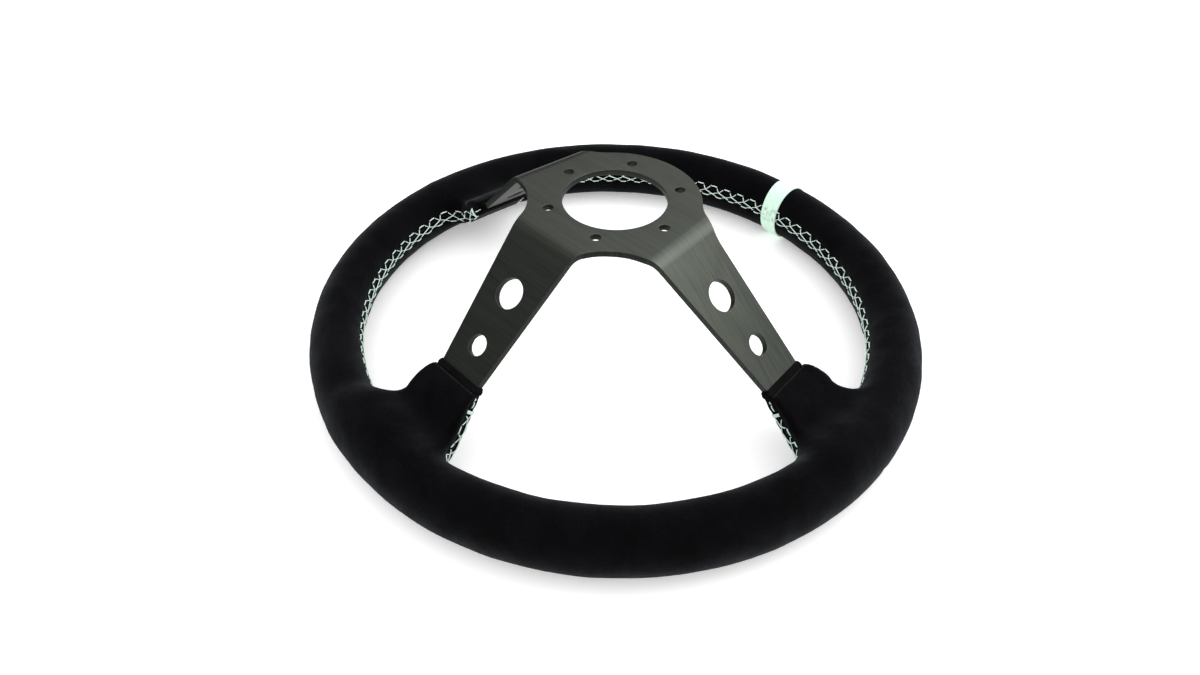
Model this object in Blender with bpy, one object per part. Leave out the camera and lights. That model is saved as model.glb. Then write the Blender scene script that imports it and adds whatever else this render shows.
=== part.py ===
"""Dished three-spoke competition steering wheel.

The wheel rests on the driver's side of its grip. Its axis is +Z, which points away from the
driver, and 12 o'clock is +Y. Left and right are the driver's, so the left spoke points to +X.
All sizes are in metres.
"""

import math
from collections import namedtuple

import bmesh
import bpy
from mathutils import Vector
from mathutils.geometry import delaunay_2d_cdt

# Driving dimensions of the whole wheel.
WHEEL_DIAMETER = 0.330
GRIP_WIDTH = 0.0282
GRIP_HEIGHT = 0.0338
HUB_FACE_HEIGHT = 0.0950

# Spoke frame: one folded sheet.
PLATE_THICKNESS = 0.0035
PLATE_EDGE_BREAK = 0.0002
HUB_RADIUS = 0.0450
HUB_FILLET_RADIUS = 0.0280
BORE_DIAMETER = 0.0545
BOLT_CIRCLE_DIAMETER = 0.0700
BOLT_HOLE_DIAMETER = 0.0053
BOLT_COUNT = 6
FOLD_DISTANCE = 0.0483
FOLD_ANGLE = math.radians(43.9)
HUB_FOLD_RADIUS = 0.0120
RIM_FOLD_RADIUS = 0.0080
FOLD_HALF_WIDTH = 0.0213
SPOKE_TAPER = 0.0955
LARGE_HOLE_DISTANCE = 0.0325
LARGE_HOLE_DIAMETER = 0.0160
SMALL_HOLE_DISTANCE = 0.0621
SMALL_HOLE_DIAMETER = 0.0110
TAB_TIP_RADIUS = 0.1575
TAB_CORNER_RADIUS = 0.0030

# Hoop inside the grip, and the rivets that hold the spoke tabs on it.
HOOP_WIDTH = 0.0140
HOOP_THICKNESS = 0.0050
HOOP_TOP_ABOVE_RIM_PLANE = -0.0020
RIVET_SHANK_DIAMETER = 0.0040
RIVET_HOLE_DIAMETER = 0.0046
RIVET_HEAD_DIAMETER = 0.0078
RIVET_HEAD_HEIGHT = 0.0014
RIVET_DOME_SHARES = ((0.6, 0.8), (1.0, 0.2))
RIVET_TAIL_SHARES = (0.8, 0.7)
RIVET_SPACING = 0.0120

# Soft parts.
GAP = 0.0003
SUEDE_THICKNESS = 0.0012
SHROUD_ROOT_RADIUS = 0.1270
SHROUD_ROOT_HALF_WIDTH = 0.0210
SHROUD_CORNER_RADIUS = 0.0065
SHROUD_RISE = 0.0085
SHROUD_RISE_POWER = 0.75
SHROUD_OVERRUN = 0.0120
TAB_ROOM = 0.00045
FOAM_ROOT_DELAY = 0.0030
HEM_WIDTH = 0.0034
HEM_THICKNESS = 0.0010
BAND_WIDTH = 0.0120
BAND_THICKNESS = 0.0012
BAND_INNER_SHARE = 0.98
BAND_ROOM_SHARE = 1.1
SEAM_WIDTH = 0.0030
SEAM_THICKNESS = 0.0004
SEAM_LIFT = 0.0003
TACK_DISTANCE = 0.0072
TACK_LENGTH = 0.0024
TACK_WIDTH = 0.0060
TACK_THICKNESS = 0.0010

# Resolution.
RIM_STEPS = 60
SECTION_STEPS = 14
FOLD_STEPS = 6
FOLD_LINE_REACH = 1.6
BORE_STEPS = 56
LIGHTENING_STEPS = 28
BOLT_HOLE_STEPS = 20
RIVET_STEPS = 12
SHROUD_STEPS = 14
CORNER_STEPS = 6
SEAM_STEP = 0.004
ARC_STEP = math.radians(6)
SMOOTH_ANGLE = math.radians(40)
RIVET_SMOOTH_ANGLE = math.radians(30)
EDGE_BREAK_ANGLE = math.radians(60)
WELD_DISTANCE = 1e-6

# Derived sizes.
RIM_RADIUS = (WHEEL_DIAMETER - GRIP_WIDTH) / 2
RIM_PLANE = GRIP_HEIGHT / 2
HALF_PLATE = PLATE_THICKNESS / 2
HOOP_TOP = RIM_PLANE + HOOP_TOP_ABOVE_RIM_PLANE
TAB_TOP = HOOP_TOP + GAP + PLATE_THICKNESS
INNER_EQUATOR = RIM_RADIUS - GRIP_WIDTH / 2
HUB_TANGENT = HUB_FOLD_RADIUS * math.tan(FOLD_ANGLE / 2)
RIM_TANGENT = RIM_FOLD_RADIUS * math.tan(FOLD_ANGLE / 2)
FOLD_TO_FOLD = (HUB_FACE_HEIGHT - TAB_TOP) / math.sin(FOLD_ANGLE)
HUB_MID_RADIUS = HUB_FOLD_RADIUS - HALF_PLATE
RIM_MID_RADIUS = RIM_FOLD_RADIUS + HALF_PLATE
FOLD_START = FOLD_DISTANCE - HUB_TANGENT
SLOPE_START = FOLD_START + HUB_MID_RADIUS * FOLD_ANGLE
SLOPE_END = SLOPE_START + FOLD_TO_FOLD - HUB_TANGENT - RIM_TANGENT
TAB_START = SLOPE_END + RIM_MID_RADIUS * FOLD_ANGLE
BLANK_SHIFT = SLOPE_START - HUB_TANGENT
WRAP = GAP + SUEDE_THICKNESS
SHROUD_REACH = TAB_START + SHROUD_OVERRUN

# heading: direction of the spoke's fold normal from +X. offset: how far the spoke's centre line
# lies from the axis at the fold. skew: how fast that offset changes along the spoke.
# hem: distance from the fold to the near edge of the hem strip.
Spoke = namedtuple("Spoke", "name heading offset skew hem")
SIDE_TILT = math.radians(7)
SIDE_OFFSET = 0.0083
SIDE_SKEW = 0.071
SPOKES = [
    Spoke("left", SIDE_TILT, -SIDE_OFFSET, SIDE_SKEW, 0.0813),
    Spoke("right", math.pi - SIDE_TILT, SIDE_OFFSET, -SIDE_SKEW, 0.0813),
    Spoke("lower", -math.pi / 2, 0.0, 0.0, 0.0778),
]

ANODISED = ("black_anodised_aluminium", (0.045, 0.050, 0.045, 1), 0.38, 1.0)
BARE_ALLOY = ("bare_aluminium", (0.60, 0.61, 0.62, 1), 0.35, 1.0)
FOAM = ("polyurethane_foam", (0.05, 0.05, 0.05, 1), 0.90, 0.0)
SUEDE = ("black_suede", (0.012, 0.012, 0.015, 1), 0.95, 0.0)
HEM_FINISH = ("black_hem_leather", (0.020, 0.020, 0.024, 1), 0.75, 0.0)
THREAD = ("pale_mint_thread", (0.66, 0.80, 0.72, 1), 0.60, 0.0)
BAND = ("pale_mint_leather", (0.70, 0.93, 0.78, 1), 0.55, 0.0)


def clear_scene():
    for item in list(bpy.data.objects):
        bpy.data.objects.remove(item, do_unlink=True)


def material(spec):
    name, colour, roughness, metallic = spec
    found = bpy.data.materials.get(name)
    if found:
        return found
    made = bpy.data.materials.new(name)
    made.use_nodes = True
    shader = made.node_tree.nodes["Principled BSDF"]
    shader.inputs["Base Color"].default_value = colour
    shader.inputs["Roughness"].default_value = roughness
    shader.inputs["Metallic"].default_value = metallic
    made.diffuse_color = colour
    return made


def add_object(name, bm, spec=None, smooth_angle=SMOOTH_ANGLE):
    """Turns a bmesh into an object. With no material it is a hidden cutter."""
    bmesh.ops.recalc_face_normals(bm, faces=bm.faces)
    mesh = bpy.data.meshes.new(name)
    bm.to_mesh(mesh)
    bm.free()
    made = bpy.data.objects.new(name, mesh)
    bpy.context.scene.collection.objects.link(made)
    if spec:
        mesh.materials.append(material(spec))
        mesh.shade_smooth()
        mesh.set_sharp_from_angle(angle=smooth_angle)
    else:
        made.hide_render = True
        made.display_type = "WIRE"
    return made


def combine(target, other, operation):
    step = target.modifiers.new(f"{operation.lower()}_{other.name}", "BOOLEAN")
    step.operation = operation
    step.solver = "EXACT"
    step.object = other


# ---------------------------------------------------------------- folded sheet

def fold_point(along):
    """Radius, height and slope of the sheet's mid surface at a length along the flat blank."""
    level = HUB_FACE_HEIGHT - HALF_PLATE
    if along <= FOLD_START:
        return along, level, 0.0
    if along <= SLOPE_START:
        turn = (along - FOLD_START) / HUB_MID_RADIUS
        radius = FOLD_START + HUB_MID_RADIUS * math.sin(turn)
        return radius, level - HUB_MID_RADIUS * (1 - math.cos(turn)), turn
    radius = FOLD_START + HUB_MID_RADIUS * math.sin(FOLD_ANGLE)
    level -= HUB_MID_RADIUS * (1 - math.cos(FOLD_ANGLE))
    run = min(along, SLOPE_END) - SLOPE_START
    radius += run * math.cos(FOLD_ANGLE)
    level -= run * math.sin(FOLD_ANGLE)
    if along <= SLOPE_END:
        return radius, level, FOLD_ANGLE
    turn = min(along - SLOPE_END, TAB_START - SLOPE_END) / RIM_MID_RADIUS
    slope = FOLD_ANGLE - turn
    radius += RIM_MID_RADIUS * (math.sin(FOLD_ANGLE) - math.sin(slope))
    level -= RIM_MID_RADIUS * (math.cos(slope) - math.cos(FOLD_ANGLE))
    return radius + max(0.0, along - TAB_START), level, max(slope, 0.0)


def blank_length(distance):
    """Length along the blank of a point at a distance down the spoke from its hub fold."""
    return distance + BLANK_SHIFT


def centre_line(spoke, along):
    return spoke.offset + spoke.skew * (min(along, TAB_START) - BLANK_SHIFT)


def half_width(along):
    return FOLD_HALF_WIDTH - SPOKE_TAPER * (min(along, TAB_START) - BLANK_SHIFT)


def axes(spoke):
    out = Vector((math.cos(spoke.heading), math.sin(spoke.heading), 0))
    side = Vector((-math.sin(spoke.heading), math.cos(spoke.heading), 0))
    return out, side


def on_sheet(spoke, along, across, lift=0.0):
    """World point at a place on the flat blank, lifted off the folded mid surface."""
    radius, level, slope = fold_point(along)
    out, side = axes(spoke)
    normal = out * math.sin(slope) + Vector((0, 0, math.cos(slope)))
    return out * radius + side * across + Vector((0, 0, level)) + normal * lift


def flat_point(spoke, along, across):
    out, side = axes(spoke)
    return (out * along + side * across).to_2d()


def arc_points(centre, radius, start, end):
    """Points on an arc, both ends included."""
    count = max(2, math.ceil(abs(end - start) / ARC_STEP))
    angles = [start + (end - start) * i / count for i in range(count + 1)]
    return [centre + Vector((math.cos(a), math.sin(a))) * radius for a in angles]


def tangent_centre(start, direction, outward, radius, reach):
    """Centre of a circle that touches a line on its outward side, at a distance from the axis."""
    base = start + outward * radius
    middle = base.dot(direction)
    travel = math.sqrt(middle ** 2 - base.length_squared + reach ** 2) - middle
    return base + direction * travel


def hub_fillet(spoke, sign):
    """Fillet between a spoke's edge and the round hub: centre, point on hub, point on edge."""
    near = flat_point(spoke, 0, centre_line(spoke, 0) + sign * half_width(0))
    far = flat_point(spoke, TAB_START, centre_line(spoke, TAB_START) + sign * half_width(TAB_START))
    edge = (far - near).normalized()
    outward = Vector((-edge.y, edge.x)) * sign
    reach = HUB_RADIUS + HUB_FILLET_RADIUS
    centre = tangent_centre(near, edge, outward, HUB_FILLET_RADIUS, reach)
    return centre, centre.normalized() * HUB_RADIUS, centre - outward * HUB_FILLET_RADIUS


def fillet_arc(centre, first, last):
    start = math.atan2(first.y - centre.y, first.x - centre.x)
    end = math.atan2(last.y - centre.y, last.x - centre.x)
    turn = (end - start + math.pi) % (2 * math.pi) - math.pi
    return arc_points(centre, (first - centre).length, start, start + turn)


def tab_end(spoke):
    """Outline of the tab that is riveted to the hoop, from its clockwise to its other side."""
    tip = TAB_START + TAB_TIP_RADIUS - fold_point(TAB_START)[0]
    middle = centre_line(spoke, TAB_START)
    reach = half_width(TAB_START)
    corner = TAB_CORNER_RADIUS
    points = [flat_point(spoke, TAB_START, middle - reach)]
    for sign in (-1, 1):
        centre = flat_point(spoke, tip - corner, middle + sign * (reach - corner))
        start = spoke.heading + (-math.pi / 2 if sign < 0 else 0)
        points += arc_points(centre, corner, start, start + math.pi / 2)
    points.append(flat_point(spoke, TAB_START, middle + reach))
    return points


def blank_outline():
    """The flat blank's outline, counter-clockwise."""
    outline = []
    for spoke, following in zip(SPOKES, SPOKES[1:] + SPOKES[:1]):
        outline += tab_end(spoke)
        centre, on_hub, on_edge = hub_fillet(spoke, 1)
        outline += fillet_arc(centre, on_edge, on_hub)
        next_centre, next_hub, next_edge = hub_fillet(following, -1)
        start = math.atan2(on_hub.y, on_hub.x)
        turn = (math.atan2(next_hub.y, next_hub.x) - start) % (2 * math.pi)
        outline += arc_points(Vector((0, 0)), HUB_RADIUS, start, start + turn)[1:-1]
        outline += fillet_arc(next_centre, next_hub, next_edge)
    return outline


def circle(centre, diameter, steps):
    angles = [2 * math.pi * i / steps for i in range(steps)]
    return [centre + Vector((math.cos(a), math.sin(a))) * diameter / 2 for a in angles]


def rivet_places(spoke):
    """Radius and sideways place of each rivet in a spoke's tab."""
    middle = centre_line(spoke, TAB_START)
    return [(RIM_RADIUS, middle + sign * RIVET_SPACING / 2) for sign in (-1, 1)]


def blank_holes():
    holes = [circle(Vector((0, 0)), BORE_DIAMETER, BORE_STEPS)]
    for i in range(BOLT_COUNT):
        turn = 2 * math.pi * i / BOLT_COUNT
        place = Vector((math.cos(turn), math.sin(turn))) * BOLT_CIRCLE_DIAMETER / 2
        holes.append(circle(place, BOLT_HOLE_DIAMETER, BOLT_HOLE_STEPS))
    lightening = ((LARGE_HOLE_DISTANCE, LARGE_HOLE_DIAMETER), (SMALL_HOLE_DISTANCE, SMALL_HOLE_DIAMETER))
    for spoke in SPOKES:
        for distance, diameter in lightening:
            along = blank_length(distance)
            place = flat_point(spoke, along, centre_line(spoke, along))
            holes.append(circle(place, diameter, LIGHTENING_STEPS))
        for radius, across in rivet_places(spoke):
            along = TAB_START + radius - fold_point(TAB_START)[0]
            holes.append(circle(flat_point(spoke, along, across), RIVET_HOLE_DIAMETER, RIVET_STEPS))
    return holes


def fold_lines():
    """Lines across each spoke where the blank bends, as pairs of points."""
    lines = []
    for spoke in SPOKES:
        for start, end in ((FOLD_START, SLOPE_START), (SLOPE_END, TAB_START)):
            for i in range(FOLD_STEPS + 1):
                along = start + (end - start) * i / FOLD_STEPS
                reach = half_width(along) * FOLD_LINE_REACH
                middle = centre_line(spoke, along)
                lines.append([flat_point(spoke, along, middle + s * reach) for s in (-1, 1)])
    return lines


def inside(point, loop):
    """Whether a point lies inside a closed loop, by counting crossings."""
    crossings = 0
    for a, b in zip(loop, loop[1:] + loop[:1]):
        if (a.y > point.y) != (b.y > point.y):
            if point.x < a.x + (point.y - a.y) * (b.x - a.x) / (b.y - a.y):
                crossings += 1
    return crossings % 2 == 1


def folded(point):
    """The spoke whose folds a point of the blank follows, with its local coordinates."""
    for spoke in SPOKES:
        out, side = axes(spoke)
        along = point.dot(out.to_2d())
        across = point.dot(side.to_2d())
        if along > FOLD_START and abs(across) < along:
            return spoke, along, across
    return SPOKES[0], None, None


def sheet_vertex(point, lift):
    spoke, along, across = folded(point)
    if along is None:
        return Vector((point.x, point.y, HUB_FACE_HEIGHT - HALF_PLATE + lift))
    return on_sheet(spoke, along, across, lift)


def build_spoke_frame():
    outline = blank_outline()
    holes = blank_holes()
    points = []
    edges = []
    for loop in [outline] + holes:
        first = len(points)
        points += loop
        edges += [(first + i, first + (i + 1) % len(loop)) for i in range(len(loop))]
    for line in fold_lines():
        edges.append((len(points), len(points) + 1))
        points += line
    flat, _, faces, _, _, _ = delaunay_2d_cdt(points, edges, [], 0, WELD_DISTANCE)
    kept = []
    for face in faces:
        middle = sum((flat[i] for i in face), Vector((0, 0))) / len(face)
        if inside(middle, outline) and not any(inside(middle, hole) for hole in holes):
            kept.append(face)
    bm = bmesh.new()
    used = sorted({i for face in kept for i in face})
    top = {i: bm.verts.new(sheet_vertex(flat[i], HALF_PLATE)) for i in used}
    bottom = {i: bm.verts.new(sheet_vertex(flat[i], -HALF_PLATE)) for i in used}
    sides = {}
    for face in kept:
        bm.faces.new([top[i] for i in face])
        bm.faces.new([bottom[i] for i in reversed(face)])
        for a, b in zip(face, face[1:] + face[:1]):
            sides[(a, b)] = True
    for a, b in sides:
        if (b, a) not in sides:
            bm.faces.new((top[b], top[a], bottom[a], bottom[b]))
    frame = add_object("spoke_frame", bm, ANODISED)
    edge_break = frame.modifiers.new("edge_break", "BEVEL")
    edge_break.width = PLATE_EDGE_BREAK
    edge_break.segments = 1
    edge_break.limit_method = "ANGLE"
    edge_break.angle_limit = EDGE_BREAK_ANGLE
    return frame


# ---------------------------------------------------------------- turned and swept shapes

def turned_ring(sections):
    """A bmesh from closed sections, one after another round the axis. Each holds points."""
    bm = bmesh.new()
    loops = [[bm.verts.new(point) for point in section] for section in sections]
    for loop, following in zip(loops, loops[1:] + loops[:1]):
        for i in range(len(loop)):
            j = (i + 1) % len(loop)
            bm.faces.new((loop[i], loop[j], following[j], following[i]))
    return bm


def capped_sweep(sections):
    """A bmesh from closed sections in a row, with both ends closed."""
    bm = bmesh.new()
    loops = [[bm.verts.new(point) for point in section] for section in sections]
    for loop, following in zip(loops, loops[1:]):
        for i in range(len(loop)):
            j = (i + 1) % len(loop)
            bm.faces.new((loop[i], loop[j], following[j], following[i]))
    bm.faces.new(loops[0])
    bm.faces.new(list(reversed(loops[-1])))
    bmesh.ops.triangulate(bm, faces=bm.faces)
    return bm


def around(radius, height, angle):
    return Vector((radius * math.cos(angle), radius * math.sin(angle), height))


def rim_angles():
    """Angles of the ring's facets, laid out so that one facet is centred on 12 o'clock."""
    step = 2 * math.pi / RIM_STEPS
    return [math.pi / 2 + (i + 0.5) * step for i in range(RIM_STEPS)]


def grip_section(inset, angle):
    """The grip's oval section, drawn in by an inset."""
    points = []
    for i in range(SECTION_STEPS):
        turn = 2 * math.pi * i / SECTION_STEPS
        radius = RIM_RADIUS + (GRIP_WIDTH / 2 - inset) * math.cos(turn)
        height = RIM_PLANE + (GRIP_HEIGHT / 2 - inset) * math.sin(turn)
        points.append(around(radius, height, angle))
    return points


def grip_ring(inset):
    return turned_ring([grip_section(inset, angle) for angle in rim_angles()])


def hoop_section(margin, angle):
    half = HOOP_WIDTH / 2 + margin
    bottom = HOOP_TOP - HOOP_THICKNESS - margin
    top = HOOP_TOP + margin
    corners = ((-half, bottom), (half, bottom), (half, top), (-half, top))
    return [around(RIM_RADIUS + r, z, angle) for r, z in corners]


def stations(start, end):
    """Lengths along the blank between two ends, with every step of both folds."""
    found = {start, end}
    for low, high in ((FOLD_START, SLOPE_START), (SLOPE_END, TAB_START)):
        found |= {low + (high - low) * i / FOLD_STEPS for i in range(FOLD_STEPS + 1)}
    return sorted(s for s in found if start <= s <= end)


def plate_sleeve(spoke, start, end, margin):
    """A solid that stands out from a spoke's plate by a margin on all sides."""
    lift = HALF_PLATE + margin
    sections = []
    for along in stations(start, end):
        middle = centre_line(spoke, along)
        reach = half_width(along) + margin
        corners = ((-reach, -lift), (reach, -lift), (reach, lift), (-reach, lift))
        sections.append([on_sheet(spoke, along, middle + v, h) for v, h in corners])
    return capped_sweep(sections)


def shroud_start(spoke):
    """Length along the blank where the suede begins, past the hem strip."""
    return blank_length(spoke.hem) + HEM_WIDTH + GAP


def shroud_side(spoke, sign):
    """Plan line of the shroud's side as a start and a direction, in the spoke's own axes."""
    start = shroud_start(spoke)
    across = centre_line(spoke, start) + sign * (half_width(start) + WRAP)
    near = Vector((fold_point(start)[0], across))
    root = Vector((SHROUD_ROOT_RADIUS, centre_line(spoke, TAB_START) + sign * SHROUD_ROOT_HALF_WIDTH))
    return near, (root - near).normalized()


def shroud_across(spoke, sign, along):
    near, direction = shroud_side(spoke, sign)
    return near.y + direction.y / direction.x * (fold_point(along)[0] - near.x)


def shroud_edge(spoke, sign, along, inset=0.0):
    """Lower and upper corner of the shroud's section on one side of the spoke.

    The padding lies on the hub side of the sheet and grows from the hem to the rim.
    """
    start = shroud_start(spoke)
    share = min(max((along - start) / (SLOPE_END - start), 0.0), 1.0)
    across = shroud_across(spoke, sign, along) - sign * inset
    lower = on_sheet(spoke, along, across, -(HALF_PLATE + WRAP - inset))
    lean = FOLD_ANGLE * (1 - share)
    lift = HALF_PLATE + WRAP - inset + SHROUD_RISE * share ** SHROUD_RISE_POWER
    up = axes(spoke)[0] * math.sin(lean) + Vector((0, 0, math.cos(lean)))
    return lower, on_sheet(spoke, along, across) + up * lift


def shroud_stations(start, end):
    """As stations, with more steps where the padding grows."""
    run = [SLOPE_START + (SLOPE_END - SLOPE_START) * i / SHROUD_STEPS for i in range(SHROUD_STEPS)]
    return sorted(stations(start, end) + [s for s in run if start < s < end])


def shroud_solid(spoke, start, end, inset):
    """The flared root of a spoke, drawn in by an inset from the suede's outer face."""
    sections = []
    for along in shroud_stations(start, end):
        left = shroud_edge(spoke, -1, along, inset)
        right = shroud_edge(spoke, 1, along, inset)
        sections.append([left[0], right[0], right[1], left[1]])
    return capped_sweep(sections)


# ---------------------------------------------------------------- rim structure

def build_rivet(name, place, hole_cutters):
    """A domed rivet, turned about its own axis, with its formed tail under the hoop."""
    shank = RIVET_SHANK_DIAMETER / 2
    head = RIVET_HEAD_DIAMETER / 2
    head_base = TAB_TOP + GAP
    tail_base = HOOP_TOP - HOOP_THICKNESS - GAP
    profile = [(0, head_base + RIVET_HEAD_HEIGHT)]
    profile += [(head * a, head_base + RIVET_HEAD_HEIGHT * b) for a, b in RIVET_DOME_SHARES]
    profile.append((head, head_base))
    profile.append((shank, head_base))
    profile.append((shank, tail_base))
    tail, tail_edge = RIVET_TAIL_SHARES
    profile.append((head * tail, tail_base))
    profile.append((head * tail, tail_base - RIVET_HEAD_HEIGHT * tail_edge))
    profile.append((0, tail_base - RIVET_HEAD_HEIGHT))
    bm = bmesh.new()
    verts = [bm.verts.new((r, 0, z - TAB_TOP)) for r, z in profile]
    edges = [bm.edges.new(pair) for pair in zip(verts, verts[1:])]
    bmesh.ops.spin(bm, geom=verts + edges, axis=(0, 0, 1), cent=(0, 0, 0), steps=RIVET_STEPS,
                   angle=2 * math.pi, use_merge=True)
    bmesh.ops.remove_doubles(bm, verts=bm.verts, dist=WELD_DISTANCE)
    rivet = add_object(name, bm, BARE_ALLOY, RIVET_SMOOTH_ANGLE)
    rivet.location = place
    drill = bmesh.new()
    bmesh.ops.create_cone(drill, cap_ends=True, segments=RIVET_STEPS, radius1=RIVET_HOLE_DIAMETER / 2,
                          radius2=RIVET_HOLE_DIAMETER / 2, depth=HOOP_THICKNESS * 2)
    cutter = add_object(f"drill_{name}", drill)
    cutter.location = (place.x, place.y, HOOP_TOP - HOOP_THICKNESS / 2)
    hole_cutters.append(cutter)


def build_rim_structure():
    hoop = add_object("rim_hoop", turned_ring([hoop_section(0, a) for a in rim_angles()]), BARE_ALLOY)
    cutters = []
    for spoke in SPOKES:
        out, side = axes(spoke)
        for label, (radius, across) in zip(("a", "b"), rivet_places(spoke)):
            place = out * radius + side * across + Vector((0, 0, TAB_TOP))
            build_rivet(f"rivet_{spoke.name}_{label}", place, cutters)
    for cutter in cutters:
        combine(hoop, cutter, "DIFFERENCE")


def rivet_pocket(spoke):
    """Room in the foam round a tab's rivets: a box across the tab, from tail to head."""
    out, side = axes(spoke)
    margin = RIVET_HEAD_HEIGHT + 2 * GAP
    bottom = HOOP_TOP - HOOP_THICKNESS - margin - GAP
    top = TAB_TOP + margin + GAP
    half_run = RIVET_HEAD_DIAMETER / 2 + 2 * GAP
    half_side = RIVET_SPACING / 2 + half_run
    middle = centre_line(spoke, TAB_START)
    sections = []
    for height in (bottom, top):
        centre = out * RIM_RADIUS + side * middle + Vector((0, 0, height))
        corners = ((-1, -1), (1, -1), (1, 1), (-1, 1))
        sections.append([centre + out * half_run * a + side * half_side * b for a, b in corners])
    return capped_sweep(sections)


def build_foam():
    inset = SUEDE_THICKNESS + GAP
    foam = add_object("foam_grip", grip_ring(inset), FOAM)
    for spoke in SPOKES:
        start = shroud_stations(shroud_start(spoke) + FOAM_ROOT_DELAY, SHROUD_REACH)[1]
        root = add_object(f"root_{spoke.name}", shroud_solid(spoke, start, SHROUD_REACH, inset))
        combine(foam, root, "UNION")
    hoop_room = add_object("hoop_room", turned_ring([hoop_section(GAP, a) for a in rim_angles()]))
    combine(foam, hoop_room, "DIFFERENCE")
    tip = TAB_START + TAB_TIP_RADIUS - fold_point(TAB_START)[0]
    for spoke in SPOKES:
        slot = add_object(f"slot_{spoke.name}", plate_sleeve(spoke, SLOPE_START, tip + GAP, TAB_ROOM))
        combine(foam, slot, "DIFFERENCE")
        pocket = add_object(f"pocket_{spoke.name}", rivet_pocket(spoke))
        combine(foam, pocket, "DIFFERENCE")


# ---------------------------------------------------------------- cover, hems and marker

def build_cover():
    cover = add_object("suede_cover", grip_ring(0), SUEDE)
    for spoke in SPOKES:
        shroud = shroud_solid(spoke, shroud_start(spoke), SHROUD_REACH, 0)
        combine(cover, add_object(f"shroud_{spoke.name}", shroud), "UNION")
    combine(cover, add_object("grip_room", grip_ring(SUEDE_THICKNESS)), "DIFFERENCE")
    for spoke in SPOKES:
        start = blank_length(spoke.hem) - HEM_WIDTH
        room = shroud_solid(spoke, start, SHROUD_REACH + GAP, SUEDE_THICKNESS)
        combine(cover, add_object(f"room_{spoke.name}", room), "DIFFERENCE")


def build_hems():
    """A flat strip folded round each spoke where the suede ends."""
    for spoke in SPOKES:
        start = blank_length(spoke.hem)
        band = plate_sleeve(spoke, start, start + HEM_WIDTH, GAP + HEM_THICKNESS)
        strip = add_object(f"hem_strip_{spoke.name}", band, HEM_FINISH)
        room = plate_sleeve(spoke, start - HEM_WIDTH, start + 2 * HEM_WIDTH, GAP)
        combine(strip, add_object(f"hem_room_{spoke.name}", room), "DIFFERENCE")


def build_centre_marker(seam_room):
    half = BAND_WIDTH / 2 / RIM_RADIUS
    ends = [math.pi / 2 - half, math.pi / 2 + half]
    outer = capped_sweep([grip_section(-GAP - BAND_THICKNESS, a) for a in ends])
    band = add_object("centre_marker", outer, BAND)
    wide = [math.pi / 2 - 2 * half, math.pi / 2 + 2 * half]
    inner = [math.pi / 2 - half * BAND_INNER_SHARE, math.pi / 2 + half * BAND_INNER_SHARE]
    sections = [grip_section(-GAP, a) for a in (wide[0], inner[0], inner[1], wide[1])]
    combine(band, add_object("marker_room", capped_sweep(sections)), "DIFFERENCE")
    combine(band, seam_room, "DIFFERENCE")


# ---------------------------------------------------------------- stitching

SeamPoint = namedtuple("SeamPoint", "place normal")


def side_point(spoke, sign, along):
    """Seam point on the shroud's side, level with the sheet, with the side wall's own normal."""
    lower, upper = shroud_edge(spoke, sign, along)
    place = lower + (upper - lower).normalized() * (HALF_PLATE + WRAP)
    run = shroud_edge(spoke, sign, along + SEAM_STEP / 4)[0] - lower
    return SeamPoint(place, (upper - lower).cross(run).normalized() * sign)


def spoke_seam(spoke, sign, start):
    """Seam points down a shroud's side from a length along the blank, and round its corner."""
    out, side = axes(spoke)
    near, direction = shroud_side(spoke, sign)
    outward = Vector((-direction.y, direction.x)) * sign
    reach = INNER_EQUATOR - SHROUD_CORNER_RADIUS
    centre = tangent_centre(near, direction, outward, SHROUD_CORNER_RADIUS, reach)
    foot = centre - outward * SHROUD_CORNER_RADIUS
    points = []
    run = start
    while fold_point(run)[0] < foot.x:
        points.append(side_point(spoke, sign, run))
        run += SEAM_STEP
    level = side_point(spoke, sign, run).place.z
    first = -outward
    turn = first.angle(centre)
    for i in range(CORNER_STEPS + 1):
        share = i / CORNER_STEPS
        ray = first * math.sin((1 - share) * turn) + centre.normalized() * math.sin(share * turn)
        ray /= math.sin(turn)
        plan = centre + ray * SHROUD_CORNER_RADIUS
        ease = share * share * (3 - 2 * share)
        height = level + (RIM_PLANE - level) * ease
        place = out * plan.x + side * plan.y + Vector((0, 0, height))
        points.append(SeamPoint(place, -(out * ray.x + side * ray.y)))
    return points


def seam_run(first, last):
    """Seam points from one spoke's hem, along the rim's inner side, to the next spoke's hem."""
    starts = [shroud_start(s) + TACK_DISTANCE + TACK_LENGTH + 2 * GAP for s in (first, last)]
    opening = spoke_seam(first, 1, starts[0])
    closing = spoke_seam(last, -1, starts[1])[::-1]
    begin = math.atan2(opening[-1].place.y, opening[-1].place.x)
    turn = (math.atan2(closing[0].place.y, closing[0].place.x) - begin) % (2 * math.pi)
    count = math.ceil(turn / (2 * math.pi / RIM_STEPS))
    points = list(opening)
    for i in range(1, count):
        angle = begin + turn * i / count
        points.append(SeamPoint(around(INNER_EQUATOR, RIM_PLANE, angle), -around(1, 0, angle)))
    return points + closing


def seam_sections(points, width, low, high):
    sections = []
    for i, point in enumerate(points):
        before = points[max(i - 1, 0)].place
        after = points[min(i + 1, len(points) - 1)].place
        across = (after - before).cross(point.normal).normalized() * width / 2
        corners = ((-1, low), (1, low), (1, high), (-1, high))
        sections.append([point.place + across * s + point.normal * h for s, h in corners])
    return sections


def build_tack(name, spoke, sign):
    """The bar tack that locks a seam's end, a little way past the hem strip."""
    start = shroud_start(spoke) + TACK_DISTANCE
    points = [side_point(spoke, sign, run) for run in (start, start + TACK_LENGTH)]
    sections = seam_sections(points, TACK_WIDTH, SEAM_LIFT, SEAM_LIFT + TACK_THICKNESS)
    add_object(name, capped_sweep(sections), THREAD)


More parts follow.
